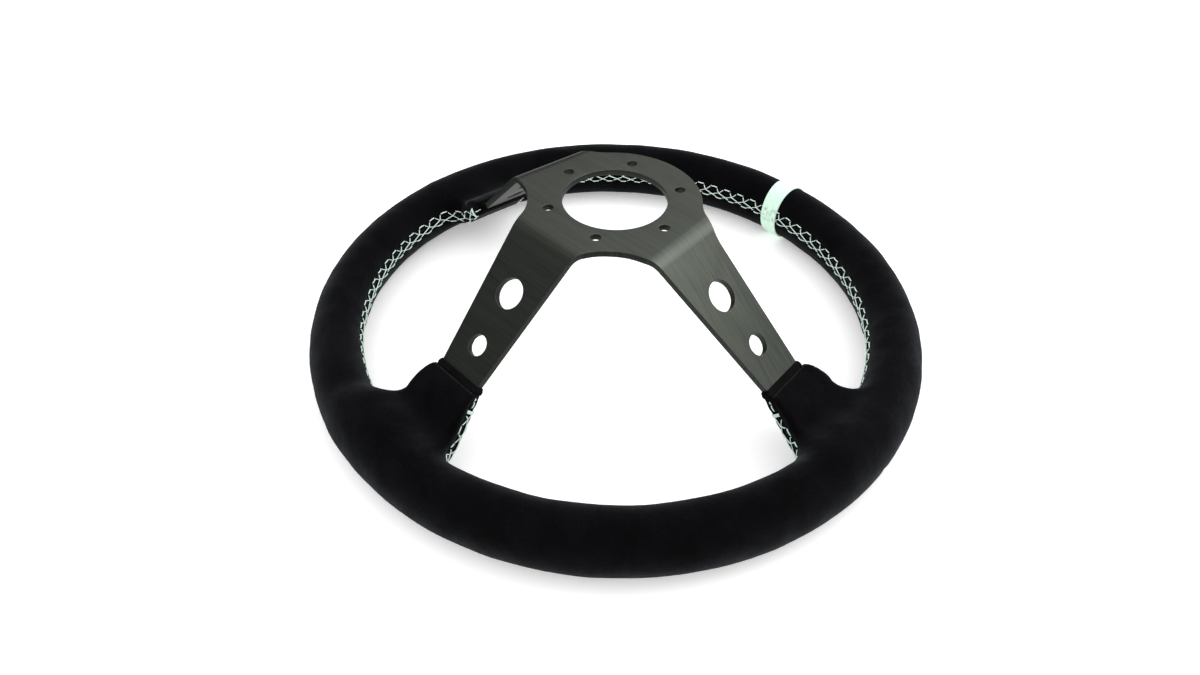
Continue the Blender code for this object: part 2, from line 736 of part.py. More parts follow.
def build_stitching():
    """The three seams and their bar tacks. Returns the room that the marker leaves a seam."""
    left, right, lower = SPOKES
    runs = {"upper": (left, right), "lower_right": (right, lower), "lower_left": (lower, left)}
    for label, (first, last) in runs.items():
        points = seam_run(first, last)
        sections = seam_sections(points, SEAM_WIDTH, SEAM_LIFT, SEAM_LIFT + SEAM_THICKNESS)
        add_object(f"stitching_{label}", capped_sweep(sections), THREAD)
        build_tack(f"bar_tack_{label}_{first.name}", first, 1)
        build_tack(f"bar_tack_{label}_{last.name}", last, -1)
    angles = [math.pi / 2 + s * BAND_ROOM_SHARE * BAND_WIDTH / 2 / RIM_RADIUS for s in (-1, 1)]
    under = [SeamPoint(around(INNER_EQUATOR, RIM_PLANE, a), -around(1, 0, a)) for a in angles]
    room = seam_sections(under, SEAM_WIDTH + 2 * GAP, -SEAM_LIFT * 2, SEAM_LIFT + SEAM_THICKNESS + GAP / 2)
    return add_object("seam_room", capped_sweep(room))


clear_scene()
build_spoke_frame()
build_rim_structure()
build_foam()
build_cover()
build_hems()
build_centre_marker(build_stitching())
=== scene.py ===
"""Looks of the dished three-spoke steering wheel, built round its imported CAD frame.

The wheel lies on the driver's side of its grip. Its axis is +Z and 12 o'clock is +Y. All sizes
are in metres. The suede cover is one skin that follows the seam: its columns start at a seam,
climb over the grip or a spoke's padded root, and meet at the outer equator or on the spoke.
"""

import math
from collections import namedtuple
from functools import cache

import bmesh
import bpy
import numpy as np
from mathutils import Matrix, Vector


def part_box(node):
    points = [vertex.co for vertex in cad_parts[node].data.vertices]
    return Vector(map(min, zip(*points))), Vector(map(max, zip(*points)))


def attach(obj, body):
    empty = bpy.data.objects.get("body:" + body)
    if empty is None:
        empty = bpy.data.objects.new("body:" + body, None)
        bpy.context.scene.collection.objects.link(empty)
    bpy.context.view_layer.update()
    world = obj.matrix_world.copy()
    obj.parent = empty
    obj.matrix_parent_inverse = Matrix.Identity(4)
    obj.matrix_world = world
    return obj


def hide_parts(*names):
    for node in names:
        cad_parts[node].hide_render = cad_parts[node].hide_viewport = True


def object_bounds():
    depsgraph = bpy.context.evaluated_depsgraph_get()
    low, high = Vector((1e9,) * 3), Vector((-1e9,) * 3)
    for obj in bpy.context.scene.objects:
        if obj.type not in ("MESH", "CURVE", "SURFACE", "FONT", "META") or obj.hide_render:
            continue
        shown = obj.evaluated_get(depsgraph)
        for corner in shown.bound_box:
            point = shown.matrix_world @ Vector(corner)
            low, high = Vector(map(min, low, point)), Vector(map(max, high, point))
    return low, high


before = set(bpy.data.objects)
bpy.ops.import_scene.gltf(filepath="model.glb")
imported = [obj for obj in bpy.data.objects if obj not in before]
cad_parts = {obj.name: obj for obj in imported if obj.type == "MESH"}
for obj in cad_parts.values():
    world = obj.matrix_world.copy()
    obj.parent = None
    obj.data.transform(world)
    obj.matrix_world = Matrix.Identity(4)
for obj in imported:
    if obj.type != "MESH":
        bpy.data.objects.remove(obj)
CAD_LOW, CAD_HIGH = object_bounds()

# Sizes read from the frame.
CAD_RIM_FACET = math.radians(6)
WHEEL_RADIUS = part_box("suede_cover")[1].x / math.cos(CAD_RIM_FACET / 2)
HUB_FACE_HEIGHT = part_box("spoke_frame")[1].z

# Grip and plate, as the frame has them.
GRIP_HALF_WIDTH = 0.0141
GRIP_HALF_HEIGHT = 0.0169
PLATE_THICKNESS = 0.0035
FOLD_DISTANCE = 0.0483
FOLD_ANGLE = math.radians(43.9)
HUB_FOLD_RADIUS = 0.0120
RIM_FOLD_RADIUS = 0.0080
FOLD_HALF_WIDTH = 0.0213
SPOKE_TAPER = 0.0955
TAB_TOP = 0.0187
GAP = 0.0003
SUEDE_THICKNESS = 0.0012

# Padded root of a spoke.
ROOT_RADIUS = 0.1270
ROOT_HALF_WIDTH = 0.0210
ROOT_RISE = 0.0085
ROOT_RISE_POWER = 0.62
ROOT_END = 0.1500
ROOT_EDGE_ROUND_HEM = 0.0013
ROOT_EDGE_ROUND_RIM = 0.0032
PROFILE_LEAD = 0.006
PROFILE_OVERRUN = 0.03
PROFILE_POINTS = 600

# The cover was wrapped by hand, so a root's two sides differ. Each pair holds the minus and the
# plus side of one spoke, in the order of SPOKES.
CORNER_FILLETS = ((0.0120, 0.0052), (0.0068, 0.0110), (0.0170, 0.0068))
CORNER_FILLET_CHANGE = 0.020
SHOULDERS = ((0.0, 0.0024), (0.0, 0.0026), (0.0018, 0.0))
SHOULDER_REACH = 0.0025

# Walking on the surface.
TINY = 1e-12
SLOPE_STEP = 2e-5
LEAST_PULL = 1e-4
LONGEST_STEP = 0.003
MARCH_STEP = 0.0002
MARCH_SLACK = 1e-9

# Seam.
SEAM_RISE = 0.0025
SEAM_SIDE_POINTS = 900
SEAM_RIM_POINTS = 3000
SEAM_PATH_POINTS = 4000
SEAM_HEIGHT_WINDOW = 201

# Relief round a seam, as (height, place, width): its groove and lips, then the dimples at the
# stitches and the pillows between them, whose places are counted in stitch rows.
RELIEF = ((-0.0007, 0.0, 0.0006), (0.00018, 0.0016, 0.0009),
          (-0.00022, 1.0, 0.0012), (0.00016, 0.62, 0.0016))

# Cover mesh.
BAND_ROWS = (0.0, 0.0004, 0.0008, 0.0013, 0.0019, 0.0025, 0.0031, 0.0036, 0.0041, 0.0048, 0.0060)
FREE_SHARES = np.arange(1, 20) / 20
SIDE_COLUMNS = 52
SIDE_COLUMNS_TURNING = 0.75
COLUMNS_PER_STITCH = 10
CORNER_ZONE = 0.012
CREST_STEP = 0.0004
CREST_REACH = 0.13
FIRST_BULGE = 0.006
RELAX_PASSES = 120
SETTLE_EVERY = 3
WAVES = ((0.00012, 0.022, 5), (0.00005, 0.007, 9))
WAVE_COUNT = 9
WAVE_LENGTHS = (0.6, 1.8)
RELIEF_FADE = 0.003
HEM_FADE = 0.004

# Stitches. Lace corners are (stitches along, rows across, height in thread radii).
STITCH_PITCH = 0.0093
STITCH_ROW = 0.0035
STITCH_ROW_AT_TACK = 0.0032
STITCH_ROW_CHANGE = 0.015
STITCH_JITTER = 0.00012
SEWN_FORWARDS = ("lower_right", "lower_left")
THREAD_RADIUS = 0.00025
THREAD_STEP = 0.0002
TUBE_SIDES = 6
PLY_TWIST = 0.0016
PLY_OFFSET = 0.48
PLY_RADIUS = 0.62
UNDER = -1.0
REST = 0.75
OVER = 2.3
LOWER_ROW_SHIFT = 0.41
DASH = ((-0.21, 1.0, UNDER), (-0.18, 1.0, REST), (0.0, 1.03, REST * 1.5), (0.18, 1.0, REST),
        (0.21, 1.0, UNDER))
DOWN_LACE = ((0.235, 0.77, UNDER), (0.26, 0.66, REST), (0.41, 0.06, OVER), (0.94, -0.50, REST),
             (1.13, -0.76, REST), (1.15, -0.80, UNDER))
UP_LACE = ((-0.34, -0.86, UNDER), (-0.31, -0.82, REST), (-0.06, -0.50, OVER), (0.41, 0.06, REST),
           (0.70, 0.78, REST), (0.72, 0.84, UNDER))
DASH_THICKNESS = 1.35
DOWN_LACE_THICKNESS = 1.20
UP_LACE_THICKNESS = 0.90

# Bar tacks.
TACK_DISTANCE = 0.0084
TACK_RADIUS = THREAD_RADIUS * 1.15
TACK_EDGE = STITCH_ROW_AT_TACK * 1.02
TACK_SHOULDER = TACK_EDGE * 0.8
TACK_WRAPS = 3
TACK_SPACING = 1.9
TACK_LIFTS = (1.6, 2.2)
TACK_CROWN = 1.25
TACK_SLANT = 0.0002
LONE_STITCHES = ((0.0061, 0.0037), (0.0024, 0.0018))
LONE_STITCH_END = 0.0003
LONE_STITCH_OFFSETS = (0.0004, 0.0002)

# Centre marker.
MARKER_WIDTH = 0.0120
MARKER_LIFT = 0.0011
MARKER_ROUNDS = 168
MARKER_ROWS = 29
MARKER_SIDE = 0.0004
MARKER_EDGE_START = 0.88
MARKER_EDGE_DROP = 0.35
MARKER_FLAT_SHARE = 0.97
PRINT_STEP = 0.0003
PRINT_REACH = 0.012
PRINT_BLOCKS = 12
PRINT_RIDGE = 0.00028
PRINT_RIDGE_WIDTH = 0.0005
PRINT_SOIL_WIDTH = 0.0007

# Hem strips.
HEM_WIDTH = 0.0034
HEM_ROWS = 15
HEM_ROUNDS = 120
HEM_MARGIN = GAP + 0.0003
HEM_WEDGE = 0.0007
HEM_PILLOW = 0.0002
HEM_PILLOW_POWER = 0.35
HEM_EAR = 0.0005
HEM_CORNER = 0.0012
HEM_CORNER_LEAST = 0.0002

# Tidying of meshes.
REPEAT_DISTANCE = 1e-6
PLATE_WELD = 0.000005

# Studio.
BRIGHT_SIDE = (0.35, 0.58, 0.73)
DOME_STOPS = ((-0.2, 0.25), (0.42, 0.40), (0.64, 1.25), (0.97, 2.5))
DOME_LOW_EDGE = (0.30, 0.56, 0.10, 1.0)
FLOOR_MIRRORED = 0.50
DOME_LIGHT = 1.35
FLOOR_GLOW = 0.30
FLOOR_GAP = 0.0002
FLOOR_REACH = 30
KEY_LIGHT_PLACE = (0.75, 1.15, 1.5)
KEY_LIGHT_SIZE = 1.3
KEY_LIGHT_POWER = 10

# Camera.
VIEW_AZIMUTH = math.radians(44.851)
VIEW_ELEVATION = math.radians(40.612)
VIEW_DISTANCE = 0.5879
VIEW_TARGET = (-0.1107, 0.0655)
VIEW_ROLL = math.radians(-0.663)
VIEW_LENS = 31.503
VIEW_SHIFT = (0.0286, -0.1239)
VIEW_SHIFT_REACH = 0.05
SENSOR_WIDTH = 36.0
NEAREST_SEEN = 0.01

# Derived sizes.
RIM_RADIUS = WHEEL_RADIUS - GRIP_HALF_WIDTH
RIM_PLANE = GRIP_HALF_HEIGHT
INNER_EQUATOR = RIM_RADIUS - GRIP_HALF_WIDTH
HALF_PLATE = PLATE_THICKNESS / 2
WRAP = GAP + SUEDE_THICKNESS
HUB_TANGENT = HUB_FOLD_RADIUS * math.tan(FOLD_ANGLE / 2)
RIM_TANGENT = RIM_FOLD_RADIUS * math.tan(FOLD_ANGLE / 2)
HUB_MID_RADIUS = HUB_FOLD_RADIUS - HALF_PLATE
RIM_MID_RADIUS = RIM_FOLD_RADIUS + HALF_PLATE
FOLD_START = FOLD_DISTANCE - HUB_TANGENT
SLOPE_START = FOLD_START + HUB_MID_RADIUS * FOLD_ANGLE
SLOPE_LENGTH = (HUB_FACE_HEIGHT - TAB_TOP) / math.sin(FOLD_ANGLE) - HUB_TANGENT - RIM_TANGENT
SLOPE_END = SLOPE_START + SLOPE_LENGTH
TAB_START = SLOPE_END + RIM_MID_RADIUS * FOLD_ANGLE
BLANK_SHIFT = SLOPE_START - HUB_TANGENT

# A spoke's centre line starts at offset from the axis and drifts sideways by skew for each metre.
Spoke = namedtuple("Spoke", "name heading offset skew hem")
SIDE_TILT = math.radians(7)
SPOKES = (
    Spoke("left", SIDE_TILT, -0.0083, 0.071, 0.0813),
    Spoke("right", math.pi - SIDE_TILT, 0.0083, -0.071, 0.0813),
    Spoke("lower", -math.pi / 2, 0.0, 0.0, 0.0778),
)
SECTORS = (("upper", 0, 1), ("lower_right", 1, 2), ("lower_left", 2, 0))
UP = np.array((0.0, 0.0, 1.0))


# ---- plate surface

def spoke_axes(spoke):
    """Unit vectors along and across a spoke, seen in plan."""
    out = np.array((math.cos(spoke.heading), math.sin(spoke.heading), 0.0))
    side = np.array((-math.sin(spoke.heading), math.cos(spoke.heading), 0.0))
    return out, side


def sheet(along):
    """Radius, height and slope of the plate's mid surface at lengths along its flat blank."""
    hub_turn = np.clip((along - FOLD_START) / HUB_MID_RADIUS, 0, FOLD_ANGLE)
    run = np.clip(along - SLOPE_START, 0, SLOPE_LENGTH)
    rim_turn = np.clip((along - SLOPE_END) / RIM_MID_RADIUS, 0, FOLD_ANGLE)
    radius = np.minimum(along, FOLD_START) + HUB_MID_RADIUS * np.sin(hub_turn)
    radius = radius + run * math.cos(FOLD_ANGLE) + np.maximum(along - TAB_START, 0)
    radius = radius + RIM_MID_RADIUS * (math.sin(FOLD_ANGLE) - np.sin(FOLD_ANGLE - rim_turn))
    level = HUB_FACE_HEIGHT - HALF_PLATE - HUB_MID_RADIUS * (1 - np.cos(hub_turn))
    level = level - run * math.sin(FOLD_ANGLE)
    level = level - RIM_MID_RADIUS * (np.cos(FOLD_ANGLE - rim_turn) - math.cos(FOLD_ANGLE))
    return radius, level, hub_turn - rim_turn


def centre_line(spoke, along):
    """Sideways place of a spoke's centre line at lengths along the blank."""
    return spoke.offset + spoke.skew * (np.minimum(along, TAB_START) - BLANK_SHIFT)


def half_width(along):
    """Half the width of a spoke at lengths along the blank."""
    return FOLD_HALF_WIDTH - SPOKE_TAPER * (np.minimum(along, TAB_START) - BLANK_SHIFT)


def on_sheet(spoke, along, across, lift):
    """World points at places on the flat blank, lifted off the folded mid surface."""
    out, side = spoke_axes(spoke)
    radius, level, slope = sheet(np.asarray(along, float))
    radius = radius + lift * np.sin(slope)
    level = level + lift * np.cos(slope)
    return in_axes((radius, out), (across, side), (level, UP))


def in_axes(*parts):
    """Points from lengths along given axes."""
    return sum(np.multiply.outer(length, axis) for length, axis in parts)


def around(radius, angle, height):
    """Points at radii, angles and heights about the wheel's axis."""
    parts = np.broadcast_arrays(radius * np.cos(angle), radius * np.sin(angle), height)
    return np.stack(parts, -1)


def sweep(start, end):
    """A point's angle about the wheel's axis, and the turn from there to another point."""
    begin = math.atan2(start[1], start[0])
    return begin, (math.atan2(end[1], end[0]) - begin) % (2 * math.pi)


def hem_end(spoke):
    """Length along the blank where the suede begins, past the hem strip."""
    return BLANK_SHIFT + spoke.hem + HEM_WIDTH + GAP


# ---- the cover's outer surface

def root_profile(spoke):
    """Lines of a padded root seen from its side, to look up by distance from the axis.

    They are its upper face's height and lean, its lower face's, and how far along the root is.
    """
    start = hem_end(spoke)
    along = np.linspace(start - PROFILE_LEAD, TAB_START + PROFILE_OVERRUN, PROFILE_POINTS)
    radius, level, slope = sheet(along)
    share = np.clip((along - start) / (SLOPE_END - start), 0, 1)
    lift = HALF_PLATE + WRAP
    lower_r = radius - lift * np.sin(slope)
    lower_z = level - lift * np.cos(slope)
    lean = np.minimum(slope, FOLD_ANGLE * (1 - share))
    lift = lift + ROOT_RISE * share ** ROOT_RISE_POWER
    upper_r = radius + lift * np.sin(lean)
    upper_z = level + lift * np.cos(lean)
    upper_cos = np.cos(np.arctan(np.gradient(upper_z, upper_r)))
    return ((upper_r, upper_z), (upper_r, upper_cos), (lower_r, lower_z), (lower_r, np.cos(slope)),
            (radius, share))


def root_side(spoke, sign):
    """Plan line of the root's side in the spoke's own axes, as a start and a slope."""
    start = hem_end(spoke)
    near_r = float(sheet(start)[0])
    near = centre_line(spoke, start) + sign * (half_width(start) + WRAP)
    far = centre_line(spoke, TAB_START) + sign * ROOT_HALF_WIDTH
    return near_r, near, (far - near) / (ROOT_RADIUS - near_r)


PROFILES = [root_profile(s) for s in SPOKES]
SIDES = [{sign: root_side(s, sign) for sign in (-1, 1)} for s in SPOKES]


def root_distance(index, points):
    """Signed distance to a spoke's padded root, a flared slab with rounded edges."""
    out, side = spoke_axes(SPOKES[index])
    run = points @ out
    across = points @ side
    height = points[:, 2]
    top, top_lean, low, low_lean, share = (np.interp(run, *line) for line in PROFILES[index])
    faces = [(height - top) * top_lean, (low - height) * low_lean, run - ROOT_END]
    for sign, (near_r, near, slope) in SIDES[index].items():
        past = np.maximum(run - near_r, 0)
        left = np.maximum(1 - past / (ROOT_RADIUS - near_r), 0)
        shoulder = SHOULDERS[index][sign > 0] * ((1 - np.exp(-past / SHOULDER_REACH)) * left)
        flank = sign * (across - near - slope * (run - near_r)) - shoulder
        faces.append(flank / math.hypot(1, slope))
    edge = ROOT_EDGE_ROUND_HEM + (ROOT_EDGE_ROUND_RIM - ROOT_EDGE_ROUND_HEM) * share
    stack = np.stack(faces) + edge
    return np.linalg.norm(np.maximum(stack, 0), axis=0) + np.minimum(stack.max(0), 0) - edge


def grip_distance(points):
    """Signed distance to the grip's ring, whose section is an ellipse."""
    across = np.hypot(points[:, 0], points[:, 1]) - RIM_RADIUS
    rise = points[:, 2] - RIM_PLANE
    level = np.hypot(across / GRIP_HALF_WIDTH, rise / GRIP_HALF_HEIGHT)
    steep = np.hypot(across / GRIP_HALF_WIDTH ** 2, rise / GRIP_HALF_HEIGHT ** 2)
    return level * (level - 1) / np.maximum(steep, 1e-6)


def eased(low, high, share):
    """From low to high as share goes from 0 to 1, with a soft start and end."""
    return low + (high - low) * share * share * (3 - 2 * share)


def body_distance(points):
    """Signed distance to the cover's outer surface: grip and roots, joined by round fillets."""
    grip = grip_distance(points)
    total = grip
    for index, (low, high) in enumerate(CORNER_FILLETS):
        root = root_distance(index, points)
        side = spoke_axes(SPOKES[index])[1]
        share = np.clip(0.5 + points @ side / CORNER_FILLET_CHANGE, 0, 1)
        fillet = eased(low, high, share)
        near = np.maximum(fillet - np.stack((grip, root)), 0)
        joined = np.maximum(fillet, np.minimum(grip, root)) - np.linalg.norm(near, axis=0)
        total = np.minimum(total, joined)
    return total


def slope_of(points):
    """Value and gradient of the signed distance."""
    value = body_distance(points)
    parts = [(body_distance(points + SLOPE_STEP * axis) - value) / SLOPE_STEP for axis in np.eye(3)]
    return value, np.stack(parts, 1)


def unit(vectors):
    return vectors / np.maximum(np.linalg.norm(vectors, axis=-1, keepdims=True), TINY)


def settle(points, keep=None, passes=4):
    """Moves points onto the surface. With keep, a point doesn't move along that direction."""
    for _ in range(passes):
        value, pull = slope_of(points)
        if keep is not None:
            pull = pull - keep * np.sum(pull * keep, 1, keepdims=True)
        step = pull * (value / np.maximum(np.sum(pull ** 2, 1), LEAST_PULL))[:, None]
        length = np.linalg.norm(step, axis=1, keepdims=True)
        points = points - step * np.minimum(1, LONGEST_STEP / np.maximum(length, TINY))
    return points


def march(points, keep, heading, distances, step=MARCH_STEP):
    """Walks over the surface in planes square to keep. Returns the points at each distance."""
    found = []
    walked = 0.0
    for target in distances:
        while walked < target - MARCH_SLACK:
            stride = min(step, target - walked)
            ahead = np.cross(keep, unit(slope_of(points)[1]))
            ahead = unit(ahead) * np.sign(np.sum(ahead * heading, 1, keepdims=True))
            points = settle(points + ahead * stride, keep, 1)
            heading = ahead
            walked += stride
        points = settle(points, keep, 2)
        found.append(points)
    return found


def resample(points, marks):
    """Points of a polyline at given lengths from its start."""
    lengths = arc_lengths(points)
    return np.stack([np.interp(marks, lengths, points[:, i]) for i in range(points.shape[1])], 1)


def arc_lengths(points):
    """Length of a polyline up to each of its points."""
    steps = np.linalg.norm(np.diff(points, axis=0), axis=1)
    return np.concatenate(((0.0,), np.cumsum(steps)))


# ---- seam

def side_run(spoke, sign):
    """Dense seam points on a root's side, from the hem to the grip's inner equator."""
    out, side = spoke_axes(spoke)
    near_r, near, slope = root_side(spoke, sign)
    along = np.linspace(hem_end(spoke), TAB_START + PROFILE_OVERRUN, SEAM_SIDE_POINTS)
    radius, level, _ = sheet(along)
    level = np.maximum(level, RIM_PLANE + SEAM_RISE)
    across = near + slope * (radius - near_r)
    inside = np.hypot(radius, across) < INNER_EQUATOR
    return in_axes((radius, out), (across, side), (level, UP))[inside]


def seam_path(first, last):
    """Dense seam points from one spoke's hem, along the grip, to the next spoke's hem."""
    opening = side_run(SPOKES[first], 1)
    closing = side_run(SPOKES[last], -1)[::-1]
    begin, turn = sweep(opening[-1], closing[0])
    angles = begin + turn * np.linspace(0, 1, SEAM_RIM_POINTS)[1:-1]
    rim = around(INNER_EQUATOR, angles, RIM_PLANE + SEAM_RISE)
    points = np.concatenate((opening, rim, closing))
    points[1:-1] = settle(points, UP, 8)[1:-1]
    total = arc_lengths(points)[-1]
    even = resample(points, np.linspace(0, total, SEAM_PATH_POINTS))
    window = np.hanning(SEAM_HEIGHT_WINDOW)
    padded = np.pad(even[:, 2], SEAM_HEIGHT_WINDOW // 2, mode="reflect", reflect_type="odd")
    even[1:-1, 2] = np.convolve(padded, window / window.sum(), "valid")[1:-1]
    even[1:-1] = settle(even, UP, 6)[1:-1]
    return even


Seam = namedtuple("Seam", "label first last marks points along length pitch stitches upper lower")


def build_seam(label, first, last):
    """A seam's columns: arc-length marks, points, directions and the rows beside it."""
    path = seam_path(first, last)
    lengths = arc_lengths(path)
    total = lengths[-1]
    stitches = round((total - 2 * TACK_DISTANCE) / STITCH_PITCH)
    pitch = (total - 2 * TACK_DISTANCE) / stitches
    turned = []
    ends = ((SPOKES[first], 1), (SPOKES[last], -1))
    for spoke, order in ends:
        side = spoke_axes(spoke)[1]
        away = np.abs(path[::order] @ side - centre_line(spoke, TAB_START))
        turned.append(lengths[np.argmax(away > ROOT_HALF_WIDTH + CORNER_ZONE)])
    middle = round((total - sum(turned)) / (pitch / COLUMNS_PER_STITCH))
    marks = np.concatenate((
        np.linspace(0, turned[0], SIDE_COLUMNS + 1)[:-1],
        np.linspace(turned[0], total - turned[1], middle + 1),
        np.linspace(total - turned[1], total, SIDE_COLUMNS + 1)[1:],
    ))
    points = resample(path, marks)
    points[1:-1] = settle(points, UP, 4)[1:-1]
    along = unit(np.gradient(points, marks, axis=0))
    for spoke, order in ends:
        out = spoke_axes(spoke)[0]
        down = out * math.cos(FOLD_ANGLE) - UP * math.sin(FOLD_ANGLE)
        share = np.arange(len(points)) / (SIDE_COLUMNS * SIDE_COLUMNS_TURNING)
        share = np.clip(share, 0, 1)[::order, None]
        along = unit(along * share + order * down * (1 - share))
    upper = march(points, along, UP, BAND_ROWS[1:])
    lower = march(points, along, -UP, BAND_ROWS[1:])
    return Seam(label, first, last, marks, points, along, total, pitch, stitches,
                np.stack([points] + upper), np.stack([points] + lower))


def seam_place(seam, run, offset):
    """Points on the cover at lengths along a seam and offsets across it, hub side positive."""
    run = np.asarray(run, float)
    offset = np.asarray(offset, float)
    column = np.interp(run, seam.marks, np.arange(len(seam.marks)))
    left = np.clip(column.astype(int), 0, len(seam.marks) - 2)
    part = (column - left)[:, None]
    row = np.interp(np.abs(offset), BAND_ROWS, np.arange(len(BAND_ROWS)))
    low = np.clip(row.astype(int), 0, len(BAND_ROWS) - 2)
    lift = (row - low)[:, None]
    grids = np.stack((seam.upper, seam.lower))
    half = (offset < 0).astype(int)
    near = grids[half, low, left] * (1 - part) + grids[half, low, left + 1] * part
    far = grids[half, low + 1, left] * (1 - part) + grids[half, low + 1, left + 1] * part
    place = near * (1 - lift) + far * lift
    return place, unit(slope_of(place)[1])


# ---- cover skin

def crest_lines():
    """Lines from each hem's middle over the root and the grip to the outer equator."""
    names = [(index, face) for index in range(len(SPOKES)) for face in (1, -1)]
    starts = []
    keeps = []
    headings = []
    for index, face in names:
        spoke = SPOKES[index]
        start = hem_end(spoke)
        out, side = spoke_axes(spoke)
        first = on_sheet(spoke, start, centre_line(spoke, start), face * (HALF_PLATE + WRAP))
        away = (out * RIM_RADIUS + side * centre_line(spoke, TAB_START) - first) * (1, 1, 0)
        starts.append(first)
        keeps.append(np.cross(UP, unit(away)))
        headings.append(out * math.cos(FOLD_ANGLE) - UP * math.sin(FOLD_ANGLE))
    marks = np.arange(CREST_STEP, CREST_REACH, CREST_STEP)
    walked = march(np.array(starts), np.array(keeps), np.array(headings), marks, CREST_STEP)
    paths = np.stack([np.array(starts)] + walked, 1)
    lines = {}
    for (index, face), path in zip(names, paths):
        outside = np.hypot(path[:, 0], path[:, 1]) > RIM_RADIUS
        passed = outside & (face * (path[:, 2] - RIM_PLANE) <= 0)
        line = path[:np.argmax(passed) + 1]
        marks = np.linspace(0, arc_lengths(line)[-1], SIDE_COLUMNS + 1)
        lines[index, face] = resample(line, marks)
    return lines


class Skin:
    """Vertices, quads and fixed flags of the cover while it is being put together."""

    def __init__(self):
        self.parts = []
        self.count = 0
        self.quads = []
        self.fixed = []

    def add(self, points, fixed):
        """Adds vertices and returns their indices."""
        points = np.asarray(points, float).reshape(-1, 3)
        self.parts.append(points)
        self.fixed.append(np.full(len(points), fixed))
        first = self.count
        self.count += len(points)
        return np.arange(first, self.count)

    def sheet(self, grid, flip):
        """Adds the quads of a grid of vertex indices."""
        near, far = grid[:-1], grid[1:]
        order = [near[:, :-1], near[:, 1:], far[:, 1:], far[:, :-1]]
        if not flip:
            order = [order[0], order[3], order[2], order[1]]
        self.quads.append(np.stack([q.ravel() for q in order], 1))


def build_skin(seams):
    """The whole outer skin of the cover, with every sector's columns joined."""
    skin = Skin()
    crests = {}
    lines = crest_lines()
    for index in range(len(SPOKES)):
        top, bottom = lines[index, 1], lines[index, -1]
        tip = (top[-1] + bottom[-1]) / 2
        shared = skin.add(tip, False)
        for face, line in ((1, top), (-1, bottom)):
            hem = skin.add(line[0], True)
            rest = skin.add(line[1:-1], False)
            crests[index, face] = np.concatenate((hem, rest, shared))
    grids = []
    for seam in seams:
        seam_row = skin.add(seam.points, True)
        start = crests[seam.first, 1][-1]
        end = crests[seam.last, 1][-1]
        flat = np.concatenate(skin.parts)
        begin, turn = sweep(flat[start], flat[end])
        count = len(seam.marks) - 2 * (SIDE_COLUMNS + 1)
        angles = begin + turn * np.arange(1, count + 1) / (count + 1)
        equator = skin.add(around(WHEEL_RADIUS, angles, RIM_PLANE), False)
        for face, band in ((1, seam.upper), (-1, seam.lower)):
            far = np.concatenate((crests[seam.first, face], equator, crests[seam.last, face][::-1]))
            rows = [seam_row] + [skin.add(row, True) for row in band[1:]]
            flat = np.concatenate(skin.parts)
            for share in FREE_SHARES:
                rise = face * FIRST_BULGE * math.sin(math.pi * share)
                row = band[-1] * (1 - share) + flat[far] * share + UP * rise
                rows.append(skin.add(row, False))
            rows.append(far)
            grid = np.stack(rows)
            skin.sheet(grid, face < 0)
            grids.append((seam, face, grid))
    points = np.concatenate(skin.parts)
    fixed = np.concatenate(skin.fixed)
    for _, _, grid in grids:
        for column in (0, -1):
            ids = grid[:, column]
            near, far = points[ids[len(BAND_ROWS) - 1]], points[ids[-1]]
            share = FREE_SHARES[:, None]
            points[ids[len(BAND_ROWS):-1]] = near * (1 - share) + far * share
            fixed[ids] = True
    return points, np.concatenate(skin.quads), fixed, grids


def relax(points, quads, fixed):
    """Evens out the free vertices and keeps them on the surface."""
    edges = np.concatenate([quads[:, (i, (i + 1) % 4)] for i in range(4)])
    edges = np.unique(np.sort(edges, 1), axis=0)
    ends = np.concatenate((edges[:, 0], edges[:, 1]))
    others = np.concatenate((edges[:, 1], edges[:, 0]))
    valence = np.bincount(ends, minlength=len(points))[:, None]
    free = np.nonzero(~fixed)[0]
    points[free] = settle(points[free], None, 8)
    for i in range(RELAX_PASSES):
        total = np.stack([np.bincount(ends, points[others, k], len(points)) for k in range(3)], 1)
        points[free] = (total / valence)[free]
        if (i + 1) % SETTLE_EVERY == 0:
            points[free] = settle(points[free], None, 1)
    points[free] = settle(points[free], None, 3)
    return points


def bell(distance, width):
    return np.exp(-(distance / width) ** 2)


def seam_relief(seam, run, offset):
    """Height of the suede round a seam: the groove, its lips and a dimple at each stitch."""
    away = np.abs(offset)
    row = row_offset(seam, run)
    phase = (run - TACK_DISTANCE) / seam.pitch * 2 * math.pi
    phase = phase + np.where(offset < 0, math.pi, 0)
    shares = (1.0, 1.0, 0.5 - 0.5 * np.cos(phase), np.cos(phase))
    total = 0.0
    for (height, place, width), unit_size, share in zip(RELIEF, (1.0, 1.0, row, row), shares):
        total = total + height * share * bell(away - unit_size * place, width)
    return total


def row_offset(seam, run):
    """How far the stitch rows lie from the seam. They draw in towards the hems."""
    away = np.minimum(run, seam.length - run)
    share = np.clip((away - TACK_DISTANCE) / STITCH_ROW_CHANGE, 0, 1)
    return eased(STITCH_ROW_AT_TACK, STITCH_ROW, share)


def smooth_waves(points, size, seed):
    """Soft unevenness, as a sum of a few sine waves in fixed directions."""
    rng = np.random.default_rng(seed)
    total = np.zeros(len(points))
    for _ in range(WAVE_COUNT):
        direction = unit(rng.normal(size=3))
        length = size * rng.uniform(*WAVE_LENGTHS)
        total += np.sin(points @ direction * 2 * math.pi / length + rng.uniform(0, 2 * math.pi))
    return total / math.sqrt(WAVE_COUNT)


